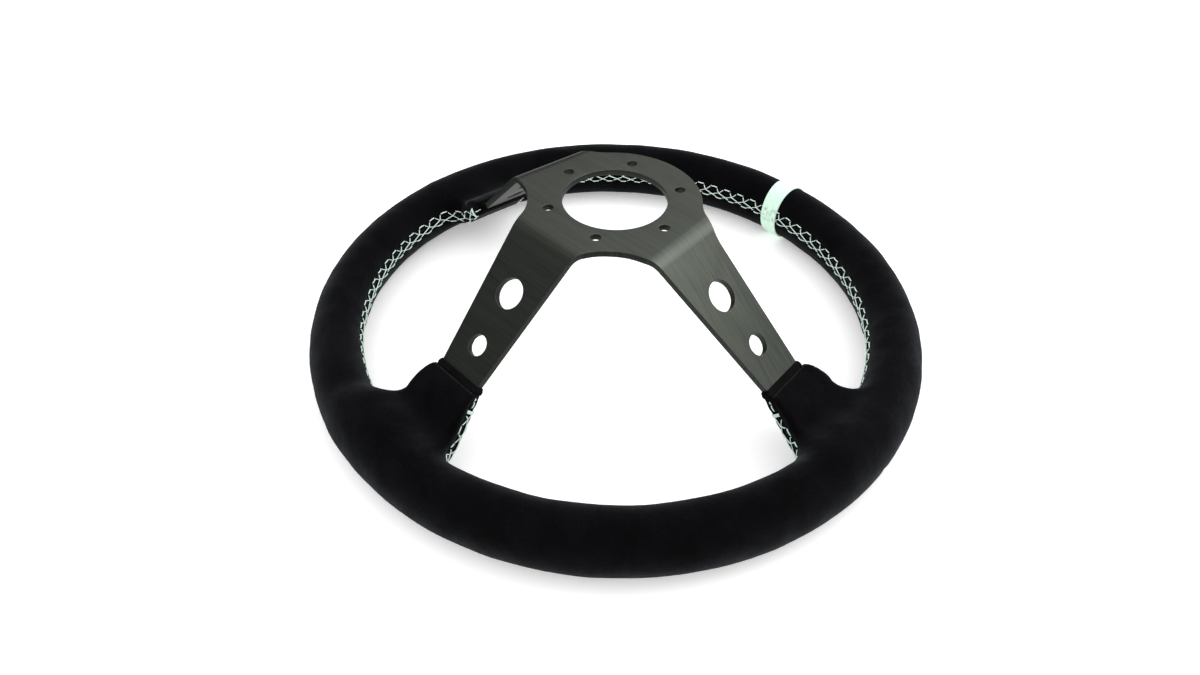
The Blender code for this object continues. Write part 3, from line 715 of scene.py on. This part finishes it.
def build_cover(seams):
    """The suede cover: the relaxed skin with its relief, given its thickness inwards."""
    points, quads, fixed, grids = build_skin(seams)
    points = relax(points, quads, fixed)
    normals = unit(slope_of(points)[1])
    relief = sum(height * smooth_waves(points, size, seed) for height, size, seed in WAVES)
    for seam, face, grid in grids:
        offset = np.array(BAND_ROWS)[:, None] * face
        hem = np.minimum(seam.marks, seam.length - seam.marks)
        rise = seam_relief(seam, seam.marks, offset) * np.clip(hem / RELIEF_FADE, 0, 1)
        relief[grid[:len(BAND_ROWS)]] += rise
        relief[grid] *= np.clip(hem / HEM_FADE, 0, 1) ** 0.5
    points = points + normals * relief[:, None]
    cover = mesh_object("grip_cover", points, quads.tolist(), suede_material())
    shell = cover.modifiers.new("thickness", "SOLIDIFY")
    shell.thickness = SUEDE_THICKNESS
    shell.offset = -1
    shell.use_even_offset = False
    return cover


# ---- mesh helpers

def mesh_object(name, points, faces, material):
    """A smooth mesh object in the scene, with one material."""
    mesh = bpy.data.meshes.new(name)
    mesh.from_pydata(np.asarray(points, float).tolist(), [], faces)
    mesh.update()
    mesh.shade_smooth()
    mesh.materials.append(material)
    return scene_object(name, mesh)


def scene_object(name, data):
    made = bpy.data.objects.new(name, data)
    bpy.context.scene.collection.objects.link(made)
    return made


def ring_quads(low, high, rounds):
    """Quads between two closed loops of vertices, given the index each loop starts at."""
    steps = [(j, (j + 1) % rounds) for j in range(rounds)]
    return [(low + j, high + j, high + k, low + k) for j, k in steps]


def path_frame(path, normals):
    """Directions across a path and away from the surface under it."""
    tangent = unit(np.gradient(path, axis=0))
    across = unit(np.cross(tangent, normals))
    return across, np.cross(across, tangent)


class Tubes:
    """Collects swept tubes into one mesh."""

    def __init__(self):
        self.points = []
        self.faces = []
        self.count = 0

    def add(self, path, normals, radius):
        """A closed tube along a path."""
        across, lift = path_frame(path, normals)
        turns = np.arange(TUBE_SIDES) * 2 * math.pi / TUBE_SIDES
        ring = across[:, None] * np.cos(turns)[None, :, None]
        ring = ring + lift[:, None] * np.sin(turns)[None, :, None]
        self.points.append((path[:, None] + ring * radius).reshape(-1, 3))
        first = self.count
        last = first + (len(path) - 1) * TUBE_SIDES
        for base in range(first, last, TUBE_SIDES):
            self.faces.extend(ring_quads(base, base + TUBE_SIDES, TUBE_SIDES))
        self.faces.append(tuple(range(first, first + TUBE_SIDES)))
        self.faces.append(tuple(range(last + TUBE_SIDES - 1, last - 1, -1)))
        self.count += len(path) * TUBE_SIDES

    def twisted(self, path, normals, radius, start=0.0):
        """A two-ply thread: two strands wound round each other."""
        across, lift = path_frame(path, normals)
        phase = start + arc_lengths(path)[:, None] * 2 * math.pi / PLY_TWIST
        for turn in (0, math.pi):
            swing = across * np.cos(phase + turn) + lift * np.sin(phase + turn)
            self.add(path + swing * radius * PLY_OFFSET, normals, radius * PLY_RADIUS)

    def build(self, name, material):
        return mesh_object(name, np.concatenate(self.points), self.faces, material)


def closed_band(name, loops, first_inner, last_inner, material):
    """A band from loops of points side by side, closed by two loops on its inner side."""
    rounds = len(loops[0])
    bases = [i * rounds for i in range(len(loops) + 2)]
    faces = []
    for low, high in zip(bases[:-2], bases[1:-2]):
        faces.extend(ring_quads(low, high, rounds))
    for low, high in ((-2, -1), (-2, 0), (-1, -3)):
        faces.extend(ring_quads(bases[low], bases[high], rounds))
    return mesh_object(name, np.concatenate((*loops, first_inner, last_inner)), faces, material)


def weld_repeats(made):
    """Joins vertices that lie in one place, and turns all faces outwards."""
    bm = bmesh.new()
    bm.from_mesh(made.data)
    bmesh.ops.remove_doubles(bm, verts=bm.verts, dist=REPEAT_DISTANCE)
    bmesh.ops.recalc_face_normals(bm, faces=bm.faces)
    bm.to_mesh(made.data)
    bm.free()
    return made


# ---- stitching

def smooth_line(corners, step):
    """Even points along a polyline of (run, offset, height) corners, with its corners eased."""
    corners = np.array(corners, float)
    total = arc_lengths(corners[:, :2])
    marks = np.linspace(0, total[-1], max(6, int(total[-1] / step)))
    line = np.stack([np.interp(marks, total, corners[:, i]) for i in range(3)], 1)
    for _ in range(2):
        line[1:-1] = (line[:-2] + 2 * line[1:-1] + line[2:]) / 4
    return line


def lay_thread(tubes, seam, corners, radius, start=0.0):
    """A thread on the cover through corners of (run, offset, height)."""
    line = smooth_line(corners, THREAD_STEP)
    place, normal = seam_place(seam, line[:, 0], line[:, 1])
    tubes.twisted(place + normal * line[:, 2:], normal, radius, start)


def build_stitching(seam):
    """A laced seam: a dash on each side for every pitch, and two laces that cross twice in it."""
    rng = np.random.default_rng(len(seam.label))
    tubes = Tubes()
    paths = []

    def lace(shift, side, corners, thickness):
        jitter = rng.normal(scale=STITCH_JITTER, size=(len(corners), 2))
        moved = []
        for (stitches, rows, height), (a, b) in zip(corners, jitter):
            run = TACK_DISTANCE + (shift + stitches) * seam.pitch
            run = min(max(run, TACK_DISTANCE), seam.length - TACK_DISTANCE)
            run = run if seam.label in SEWN_FORWARDS else seam.length - run
            offset = side * rows * float(row_offset(seam, run))
            moved.append((run + a, offset + b, height * THREAD_RADIUS))
        paths.append(moved)
        lay_thread(tubes, seam, moved, THREAD_RADIUS * thickness, rng.uniform(0, math.pi))

    for k in range(seam.stitches + 1):
        if 0 < k < seam.stitches:
            lace(k, 1, DASH, DASH_THICKNESS)
        if k < seam.stitches:
            lace(k + LOWER_ROW_SHIFT, -1, DASH, DASH_THICKNESS)
            lace(k, 1, DOWN_LACE, DOWN_LACE_THICKNESS)
            lace(k, 1, UP_LACE, UP_LACE_THICKNESS)
    return tubes.build(f"thread_{seam.label}", thread_material()), paths


def build_tack(seam, spoke, opening):
    """Wraps across the seam that lock its end, and the lone stitches from there to the hem."""
    tubes = Tubes()
    under = -TACK_RADIUS

    def thread(corners):
        placed = [(run if opening else seam.length - run, offset, height)
                  for run, offset, height in corners]
        lay_thread(tubes, seam, placed, TACK_RADIUS)

    for i in range(TACK_WRAPS):
        middle = TACK_DISTANCE + (i - (TACK_WRAPS - 1) / 2) * TACK_RADIUS * TACK_SPACING
        lift = TACK_RADIUS * TACK_LIFTS[i % 2]
        thread([(middle, -TACK_EDGE, under), (middle, -TACK_SHOULDER, lift),
                (middle + TACK_SLANT, 0, lift * TACK_CROWN), (middle, TACK_SHOULDER, lift),
                (middle, TACK_EDGE, under)])
    far, near = LONE_STITCH_OFFSETS
    for start, end in LONE_STITCHES:
        thread([(start + LONE_STITCH_END, far, under), (start, far, TACK_RADIUS),
                (end, near, TACK_RADIUS), (end - LONE_STITCH_END, near, under)])
    return tubes.build(f"tack_thread_{seam.label}_{spoke.name}", thread_material())


# ---- centre marker

def stitch_distances(seam, paths, points):
    """Distance from points inside the rim's centre circle to the stitches near 12 o'clock."""
    lines = np.concatenate([smooth_line(path, PRINT_STEP) for path in paths])
    turned = np.unwrap(np.arctan2(seam.points[:, 1], seam.points[:, 0]))
    near = np.abs(lines[:, 0] - np.interp(math.pi / 2, turned, seam.marks)) < PRINT_REACH
    under = seam_place(seam, lines[near, 0], lines[near, 1])[0]
    distances = np.full(len(points), 1.0)
    inside = np.nonzero(np.hypot(points[:, 0], points[:, 1]) < RIM_RADIUS)[0]
    for block in np.array_split(inside, PRINT_BLOCKS):
        distances[block] = np.linalg.norm(points[block][:, None] - under, axis=2).min(1)
    return distances


def build_marker(seam, paths):
    """The pale strip wrapped round the grip at 12 o'clock. The stitches under it show through."""
    inset = GAP / 2
    turns = np.arange(MARKER_ROUNDS) * 2 * math.pi / MARKER_ROUNDS
    shares = np.concatenate(((-1.0, -1.0), np.linspace(-1, 1, MARKER_ROWS), (1.0, 1.0)))
    edge = np.clip((np.abs(shares) - MARKER_EDGE_START) / (1 - MARKER_EDGE_START), 0, 1)
    rises = MARKER_LIFT * (1 - edge ** 2 * MARKER_EDGE_DROP)
    rises[:2] = (inset, inset + MARKER_SIDE)
    rises[-2:] = (inset + MARKER_SIDE, inset)
    angles = math.pi / 2 + shares * MARKER_WIDTH / 2 / RIM_RADIUS
    turn, angle = np.meshgrid(turns, angles)
    lift = np.broadcast_to(rises[:, None], turn.shape)
    base = np.stack((GRIP_HALF_WIDTH * np.cos(turn), GRIP_HALF_HEIGHT * np.sin(turn)), -1)
    normal = (np.cos(turn) / GRIP_HALF_WIDTH, np.sin(turn) / GRIP_HALF_HEIGHT)
    normal = unit(np.stack(normal, -1))

    def place(amount):
        flat = base + normal * amount[..., None]
        return around(RIM_RADIUS + flat[..., 0], angle, RIM_PLANE + flat[..., 1])

    distances = stitch_distances(seam, paths, place(lift).reshape(-1, 3))
    gaps = distances.reshape(turn.shape) - MARKER_LIFT
    ridge = PRINT_RIDGE * bell(gaps, PRINT_RIDGE_WIDTH)
    outer = place(lift + ridge * (np.abs(shares)[:, None] < MARKER_FLAT_SHARE))
    inner = place(np.full(turn.shape, inset))
    made = closed_band("marker_band", list(outer), inner[0], inner[-1], marker_material())
    printed = np.zeros(len(made.data.vertices), np.float32)
    printed[:gaps.size] = bell(gaps.ravel(), PRINT_SOIL_WIDTH)
    soil = made.data.attributes.new("stitch_print", "FLOAT", "POINT")
    soil.data.foreach_set("value", printed)
    return weld_repeats(made)


# ---- hem strips

def build_hem(spoke):
    """A narrow strip folded round the spoke where the suede ends, with an ear at each fold."""
    start = BLANK_SHIFT + spoke.hem
    loops = []
    for share in np.arange(HEM_ROWS) / (HEM_ROWS - 1):
        swell = math.sin(math.pi * share) if 0 < share < 1 else 0.0
        margin = HEM_MARGIN + HEM_WEDGE * share + HEM_PILLOW * swell ** HEM_PILLOW_POWER
        loops.append(hem_loop(spoke, start + HEM_WIDTH * share, margin, HEM_EAR * swell ** 2))
    inner = [hem_loop(spoke, along, GAP / 2, 0.0) for along in (start, start + HEM_WIDTH)]
    return weld_repeats(closed_band(f"hem_trim_{spoke.name}", loops, *inner, hem_material()))


def hem_loop(spoke, along, margin, ear):
    """A closed loop round the plate's section, rounded at its corners."""
    corner = min(HEM_CORNER, margin + HEM_CORNER_LEAST)
    half_a = half_width(along) + margin - corner
    half_b = HALF_PLATE + margin - corner
    quarter = math.pi / 2 * corner
    lengths = [2 * half_b, quarter, 2 * half_a, quarter] * 2
    points = []
    for i in range(HEM_ROUNDS):
        mark = sum(lengths) * i / HEM_ROUNDS
        side = 0
        while mark > lengths[side] and side < len(lengths) - 1:
            mark -= lengths[side]
            side += 1
        points.append(loop_point(side, mark, half_a, half_b, corner))
    points = np.array(points)
    outwards = np.clip((np.abs(points[:, 0]) - half_a) / corner, 0, 1)
    points[:, 0] += np.sign(points[:, 0]) * ear * outwards
    middle = centre_line(spoke, along)
    return np.stack([on_sheet(spoke, along, middle + across, lift) for across, lift in points])


def loop_point(side, mark, half_a, half_b, corner):
    """A point on a rounded rectangle, by the side it is on and the length along that side.

    Even sides are straight and odd ones are the rounded corner after them.
    """
    quarter, bent = divmod(side, 2)
    out, up = (half_b, half_a) if quarter % 2 else (half_a, half_b)
    if bent:
        out += corner * math.cos(mark / corner)
        up += corner * math.sin(mark / corner)
    else:
        out += corner
        up = mark - up
    return ((out, up), (-up, out), (-out, -up), (up, -out))[quarter]


# ---- materials

class Graph:
    """Short-hand for building a node tree."""

    def __init__(self, tree, place):
        self.tree = tree
        self.tree.nodes.clear()
        self.place = self.get("TexCoord", place)

    def add(self, kind, inputs=None, **settings):
        """A new node, with values or links for its inputs."""
        node = self.tree.nodes.new(f"ShaderNode{kind}")
        for key, value in settings.items():
            setattr(node, key, value)
        for key, value in (inputs or {}).items():
            self.link(value, node.inputs[key])
        return node

    def get(self, kind, output, inputs=None, **settings):
        """An output of a new node."""
        return self.add(kind, inputs, **settings).outputs[output]

    def link(self, source, target):
        """Links an output to an input, or sets the input to a number, vector or colour."""
        if isinstance(source, bpy.types.NodeSocket):
            self.tree.links.new(source, target)
        elif target.type == "RGBA":
            target.default_value = (*source, 1.0)
        else:
            target.default_value = source

    def scaled(self, scale, turn=(0, 0, 0)):
        inputs = {"Scale": scale, "Rotation": turn, "Vector": self.place}
        return self.get("Mapping", "Vector", inputs)

    def noise(self, scale, detail, rough, vector=None, distortion=0.0):
        inputs = {"Scale": scale, "Detail": detail, "Roughness": rough, "Distortion": distortion,
                  "Vector": vector or self.place}
        return self.get("TexNoise", "Fac", inputs)

    def cells(self, scale):
        return self.get("TexVoronoi", "Distance", {"Scale": scale, "Vector": self.place})

    def ramp(self, value, low, high, to_low=0.0, to_high=1.0, kind="LINEAR"):
        inputs = {"Value": value, "From Min": low, "From Max": high, "To Min": to_low,
                  "To Max": to_high}
        return self.get("MapRange", "Result", inputs, interpolation_type=kind)

    def math(self, operation, a, b):
        return self.get("Math", "Value", {0: a, 1: b}, operation=operation)

    def times(self, a, b):
        return self.math("MULTIPLY", a, b)

    def dot(self, a, b):
        return self.get("VectorMath", "Value", {0: a, 1: b}, operation="DOT_PRODUCT")

    def mix(self, share, a, b, blend="MIX"):
        inputs = {"Factor": share, "A": a, "B": b}
        return self.get("Mix", "Result", inputs, data_type="RGBA", blend_type=blend)

    def bump(self, height, strength, distance, **below):
        inputs = {"Strength": strength, "Distance": distance, "Height": height, **below}
        return self.get("Bump", "Normal", inputs)


class Nodes(Graph):
    """A node material with a Principled shader."""

    def __init__(self, name):
        self.material = bpy.data.materials.get(name) or bpy.data.materials.new(name)
        self.material.use_nodes = True
        super().__init__(self.material.node_tree, "Object")
        self.output = self.add("OutputMaterial")
        self.shader = self.add("BsdfPrincipled")
        self.link(self.shader.outputs["BSDF"], self.output.inputs["Surface"])

    def set(self, **values):
        """Sets shader inputs, named as in Blender but in lower case with underscores."""
        for key, value in values.items():
            name = key.replace("_", " ").title().replace("Ior", "IOR")
            self.link(value, self.shader.inputs[name])


@cache
def suede_material():
    """Near-black suede: a soft nap with brushed patches, fibre grain and a few specks of lint."""
    n = Nodes("looks_suede")
    patches = n.noise(70, 4, 0.6, distortion=0.4)
    fibres = n.noise(2600, 4, 0.75)
    grain = n.noise(900, 3, 0.6)
    shade = n.times(n.ramp(patches, 0.35, 0.65, 0.7, 1.3), n.ramp(fibres, 0.3, 0.7, 0.3, 2.2))
    base = n.mix(1.0, (0.0011, 0.0011, 0.0015), shade, "MULTIPLY")
    specks = n.ramp(n.cells(330), 0.0, 0.06, 1.0, 0.0)
    lint = n.times(specks, n.ramp(n.noise(210, 1, 0.5), 0.60, 0.66))
    n.set(base_color=n.mix(n.times(lint, 0.55), base, (0.12, 0.10, 0.08)))
    n.set(roughness=n.ramp(grain, 0.3, 0.7, 0.88, 1.0), specular_ior_level=0.05)
    nap = n.times(n.ramp(patches, 0.3, 0.7, 0.08, 0.16), n.ramp(fibres, 0.35, 0.65, 0.4, 1.6))
    n.set(sheen_weight=nap, sheen_roughness=0.38, sheen_tint=(0.62, 0.66, 0.74))
    soft = n.bump(grain, 0.35, 0.0004)
    n.set(normal=n.bump(fibres, 0.55, 0.00025, Normal=soft))
    return n.material


@cache
def plate_material():
    """Black anodised sheet, brushed from side to side before it was dyed."""
    n = Nodes("looks_anodised_plate")
    lines = n.noise(1.0, 6, 0.7, n.scaled((22, 2600, 60)))
    broad = n.noise(1.0, 3, 0.6, n.scaled((9, 420, 20)))
    cloud = n.noise(28, 3, 0.5)
    tone = n.math("ADD", n.times(lines, 0.80), n.times(broad, 0.20))
    base = n.mix(n.ramp(tone, 0.35, 0.65), (0.047, 0.052, 0.044), (0.079, 0.087, 0.074))
    # The edges get a lighter metal colour: partly worn bare metal, partly a painted highlight along
    # the edges.
    n.set(base_color=n.mix(wear_and_highlight_edge_mask(n, 0.00035), base, (0.30, 0.32, 0.30)))
    streaks = n.ramp(tone, 0.35, 0.65, 0.27, 0.38)
    n.set(roughness=n.math("ADD", streaks, n.ramp(cloud, 0.3, 0.7, -0.02, 0.04)))
    n.set(metallic=0.88, specular_ior_level=0.5)
    n.set(anisotropic=0.45, tangent=n.get("CombineXYZ", "Vector", {"X": 1.0}))
    n.set(normal=n.bump(lines, 0.10, 0.00006))
    return n.material


def wear_and_highlight_edge_mask(n, radius):
    """1 on the plate's edges, which are lightened partly as worn bare metal and partly as a painted
    edge highlight, from how far a rounded normal turns away from the face's own.
    """
    rounded = n.get("Bevel", "Normal", {"Radius": radius}, samples=6)
    turned = n.dot(rounded, n.get("NewGeometry", "Normal"))
    edge_patchiness = n.noise(180, 3, 0.6)
    return n.times(n.ramp(turned, 0.97, 0.86), n.ramp(edge_patchiness, 0.3, 0.6, 0.35, 0.9))


@cache
def alloy_material():
    """Bare aluminium of the hoop and rivets, lightly scratched and dulled."""
    n = Nodes("looks_bare_aluminium")
    scratches = n.noise(1.0, 5, 0.7, n.scaled((400, 2200, 900), (0.3, 0.2, 0.6)))
    dull = n.noise(60, 4, 0.6)
    n.set(base_color=n.mix(dull, (0.42, 0.43, 0.44), (0.66, 0.67, 0.68)))
    n.set(roughness=n.ramp(scratches, 0.3, 0.7, 0.24, 0.48), metallic=1.0)
    n.set(normal=n.bump(scratches, 0.15, 0.00008))
    return n.material


@cache
def foam_material():
    """Dark moulded foam with open pores."""
    n = Nodes("looks_foam")
    pores = n.cells(1500)
    n.set(base_color=n.mix(n.ramp(pores, 0.1, 0.6), (0.012, 0.012, 0.012), (0.05, 0.05, 0.05)))
    n.set(roughness=0.95, specular_ior_level=0.2)
    n.set(normal=n.bump(pores, 0.6, 0.0003))
    return n.material


@cache
def thread_material():
    """Pale mint waxed thread. The plies are modelled, and fine fibres run along them."""
    n = Nodes("looks_thread")
    fibres = n.noise(5200, 3, 0.7)
    drift = n.noise(45, 2, 0.5)
    base = n.mix(n.ramp(drift, 0.3, 0.7), (0.70, 0.88, 0.79), (0.82, 0.95, 0.88))
    dark = n.mix(n.ramp(fibres, 0.25, 0.55), (0.52, 0.68, 0.60), base)
    n.set(base_color=dark, roughness=0.62, specular_ior_level=0.35)
    n.set(sheen_weight=0.25, sheen_roughness=0.4)
    n.set(normal=n.bump(fibres, 0.35, 0.0001))
    return n.material


@cache
def marker_material():
    """Pale mint leather with a fine grain, a little soiled where the stitches print through."""
    n = Nodes("looks_marker_leather")
    grain = n.cells(1150)
    creases = n.noise(420, 4, 0.6)
    soil = n.noise(160, 4, 0.6)
    base = n.mix(n.ramp(creases, 0.3, 0.7), (0.60, 0.86, 0.70), (0.74, 0.95, 0.80))
    printed = n.get("Attribute", "Fac", attribute_name="stitch_print")
    patchy = n.ramp(n.noise(900, 3, 0.6), 0.48, 0.62, 0.0, 0.7)
    base = n.mix(n.ramp(soil, 0.62, 0.78, 0.0, 0.25), base, (0.36, 0.44, 0.38))
    n.set(base_color=n.mix(n.times(printed, patchy), base, (0.20, 0.26, 0.22)))
    n.set(roughness=n.ramp(grain, 0.0, 0.6, 0.42, 0.60), specular_ior_level=0.4)
    fine = n.bump(grain, 0.35, 0.00012)
    n.set(normal=n.bump(creases, 0.25, 0.0002, Normal=fine))
    return n.material


@cache
def hem_material():
    """Black woven tape: fine ribs across the strip, with a dull face."""
    n = Nodes("looks_hem_tape")
    ribs = n.cells(1900)
    cloud = n.noise(140, 3, 0.6)
    tone = n.ramp(cloud, 0.3, 0.7)
    n.set(base_color=n.mix(tone, (0.0012, 0.0012, 0.0016), (0.0034, 0.0034, 0.0042)))
    n.set(roughness=n.ramp(ribs, 0.0, 0.6, 0.75, 0.95), specular_ior_level=0.08)
    n.set(normal=n.bump(ribs, 0.5, 0.0002))
    return n.material


@cache
def floor_material():
    """Seamless white paper, which looks greyer in mirror-like surfaces than it does directly."""
    n = Nodes("looks_floor")
    tone = n.noise(3.0, 2, 0.5)
    n.set(base_color=n.mix(tone, (0.93, 0.935, 0.93), (0.95, 0.95, 0.945)))
    n.set(roughness=0.6, specular_ior_level=0.2)
    n.set(emission_color=(1.0, 1.0, 1.0), emission_strength=FLOOR_GLOW)
    seen = {"Fac": n.get("LightPath", "Is Glossy Ray"), 1: n.shader.outputs["BSDF"],
            2: n.get("Emission", "Emission", {"Strength": FLOOR_MIRRORED})}
    n.link(n.get("MixShader", "Shader", seen), n.output.inputs["Surface"])
    return n.material


# ---- studio

def build_dome():
    """White dome. Mirror-like surfaces see one that is bright high up on one side only."""
    world = bpy.data.worlds.new("studio")
    bpy.context.scene.world = world
    world.use_nodes = True
    g = Graph(world.node_tree, "Generated")
    bright = g.dot(g.place, unit(np.array(BRIGHT_SIDE)))
    level = DOME_STOPS[0][1]
    for (low, below), (high, above) in zip(DOME_STOPS, DOME_STOPS[1:]):
        level = g.math("ADD", level, g.ramp(bright, low, high, 0.0, above - below, "SMOOTHSTEP"))
    height = g.get("SeparateXYZ", "Z", {"Vector": g.place})
    seen = g.times(level, g.ramp(height, *DOME_LOW_EDGE, "SMOOTHSTEP"))
    grey = g.get("CombineColor", "Color", dict.fromkeys(("Red", "Green", "Blue"), seen))
    shown = g.mix(g.get("LightPath", "Is Glossy Ray"), (DOME_LIGHT,) * 3, grey)
    g.add("OutputWorld", {"Surface": g.get("Background", "Background", {"Color": shown})})


def build_studio():
    build_dome()
    corners = ((-1, -1), (1, -1), (1, 1), (-1, 1))
    level = CAD_LOW.z - FLOOR_GAP
    points = [(x * FLOOR_REACH, y * FLOOR_REACH, level) for x, y in corners]
    mesh_object("studio_floor", points, [(0, 1, 2, 3)], floor_material())
    light = bpy.data.lights.new("key_light", "AREA")
    light.size = KEY_LIGHT_SIZE
    light.energy = KEY_LIGHT_POWER
    aim(scene_object("key_light", light), KEY_LIGHT_PLACE, (0, 0, 0))


def aim(thing, place, target):
    """Stands a lamp or camera at a place and points it at a target."""
    thing.location = place
    thing.rotation_mode = "QUATERNION"
    thing.rotation_quaternion = (Vector(target) - thing.location).to_track_quat("-Z", "Y")


def build_camera():
    data = bpy.data.cameras.new("camera")
    data.lens = VIEW_LENS
    data.sensor_width = SENSOR_WIDTH
    data.clip_start = NEAREST_SEEN
    camera = scene_object("camera", data)
    flat = VIEW_DISTANCE * math.cos(VIEW_ELEVATION)
    place = (flat * math.sin(VIEW_AZIMUTH), -flat * math.cos(VIEW_AZIMUTH),
             RIM_PLANE + VIEW_DISTANCE * math.sin(VIEW_ELEVATION))
    aim(camera, place, (*VIEW_TARGET, RIM_PLANE))
    roll = Matrix.Rotation(VIEW_ROLL, 3, "Z").to_quaternion()
    camera.rotation_quaternion = camera.rotation_quaternion @ roll
    for channel, amount in zip(("shift_x", "shift_y"), VIEW_SHIFT):
        shift_lens(camera, channel, amount)
    bpy.context.scene.camera = camera


def shift_lens(camera, channel, amount):
    """Shifts the lens while the camera stands where it was put. A moved camera looks straight."""
    curve = camera.data.driver_add(channel)
    for extra in list(curve.modifiers):
        curve.modifiers.remove(extra)
    curve.driver.type = "AVERAGE"
    place = curve.driver.variables.new()
    place.type = "TRANSFORMS"
    place.targets[0].id = camera
    place.targets[0].transform_type = "LOC_X"
    curve.keyframe_points.add(3)
    for key, side in zip(curve.keyframe_points, (-1, 0, 1)):
        value = 0 if side else amount
        key.co = (camera.location.x + side * VIEW_SHIFT_REACH, value)
        key.interpolation = "LINEAR"
    curve.update()


# ---- assembly

def dress_cad_nodes():
    """Gives each CAD node its procedural material, and smooth shading on the plate's folds."""
    looks = {"spoke_frame": plate_material, "rim_hoop": alloy_material, "rivet": alloy_material,
             "foam": foam_material, "suede": suede_material, "hem": hem_material,
             "centre": marker_material, "stitching": thread_material, "bar": thread_material}
    for name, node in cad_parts.items():
        look = next(make for prefix, make in looks.items() if name.startswith(prefix))
        for place in node.material_slots:
            place.material = look()
    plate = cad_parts["spoke_frame"]
    weld = plate.modifiers.new("weld", "WELD")
    weld.merge_threshold = PLATE_WELD
    smooth = plate.modifiers.new("even_normals", "WEIGHTED_NORMAL")
    smooth.keep_sharp = False
    smooth.weight = 100
    plate.data.shade_smooth()


def stand_for(piece, node):
    """Puts a piece on the root body and hides the CAD node it stands in for."""
    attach(piece, "root")
    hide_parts(node)


def build_wheel():
    seams = [build_seam(*sector) for sector in SECTORS]
    stand_for(build_cover(seams), "suede_cover")
    for seam in seams:
        thread, paths = build_stitching(seam)
        stand_for(thread, f"stitching_{seam.label}")
        if seam.label == "upper":
            marker = build_marker(seam, paths)
            stand_for(marker, "centre_marker")
        for index, opening in ((seam.first, True), (seam.last, False)):
            spoke = SPOKES[index]
            tack = build_tack(seam, spoke, opening)
            stand_for(tack, f"bar_tack_{seam.label}_{spoke.name}")
    for spoke in SPOKES:
        stand_for(build_hem(spoke), f"hem_strip_{spoke.name}")


dress_cad_nodes()
build_wheel()
build_studio()
build_camera()
bpy.context.scene.view_settings.view_transform = "Standard"
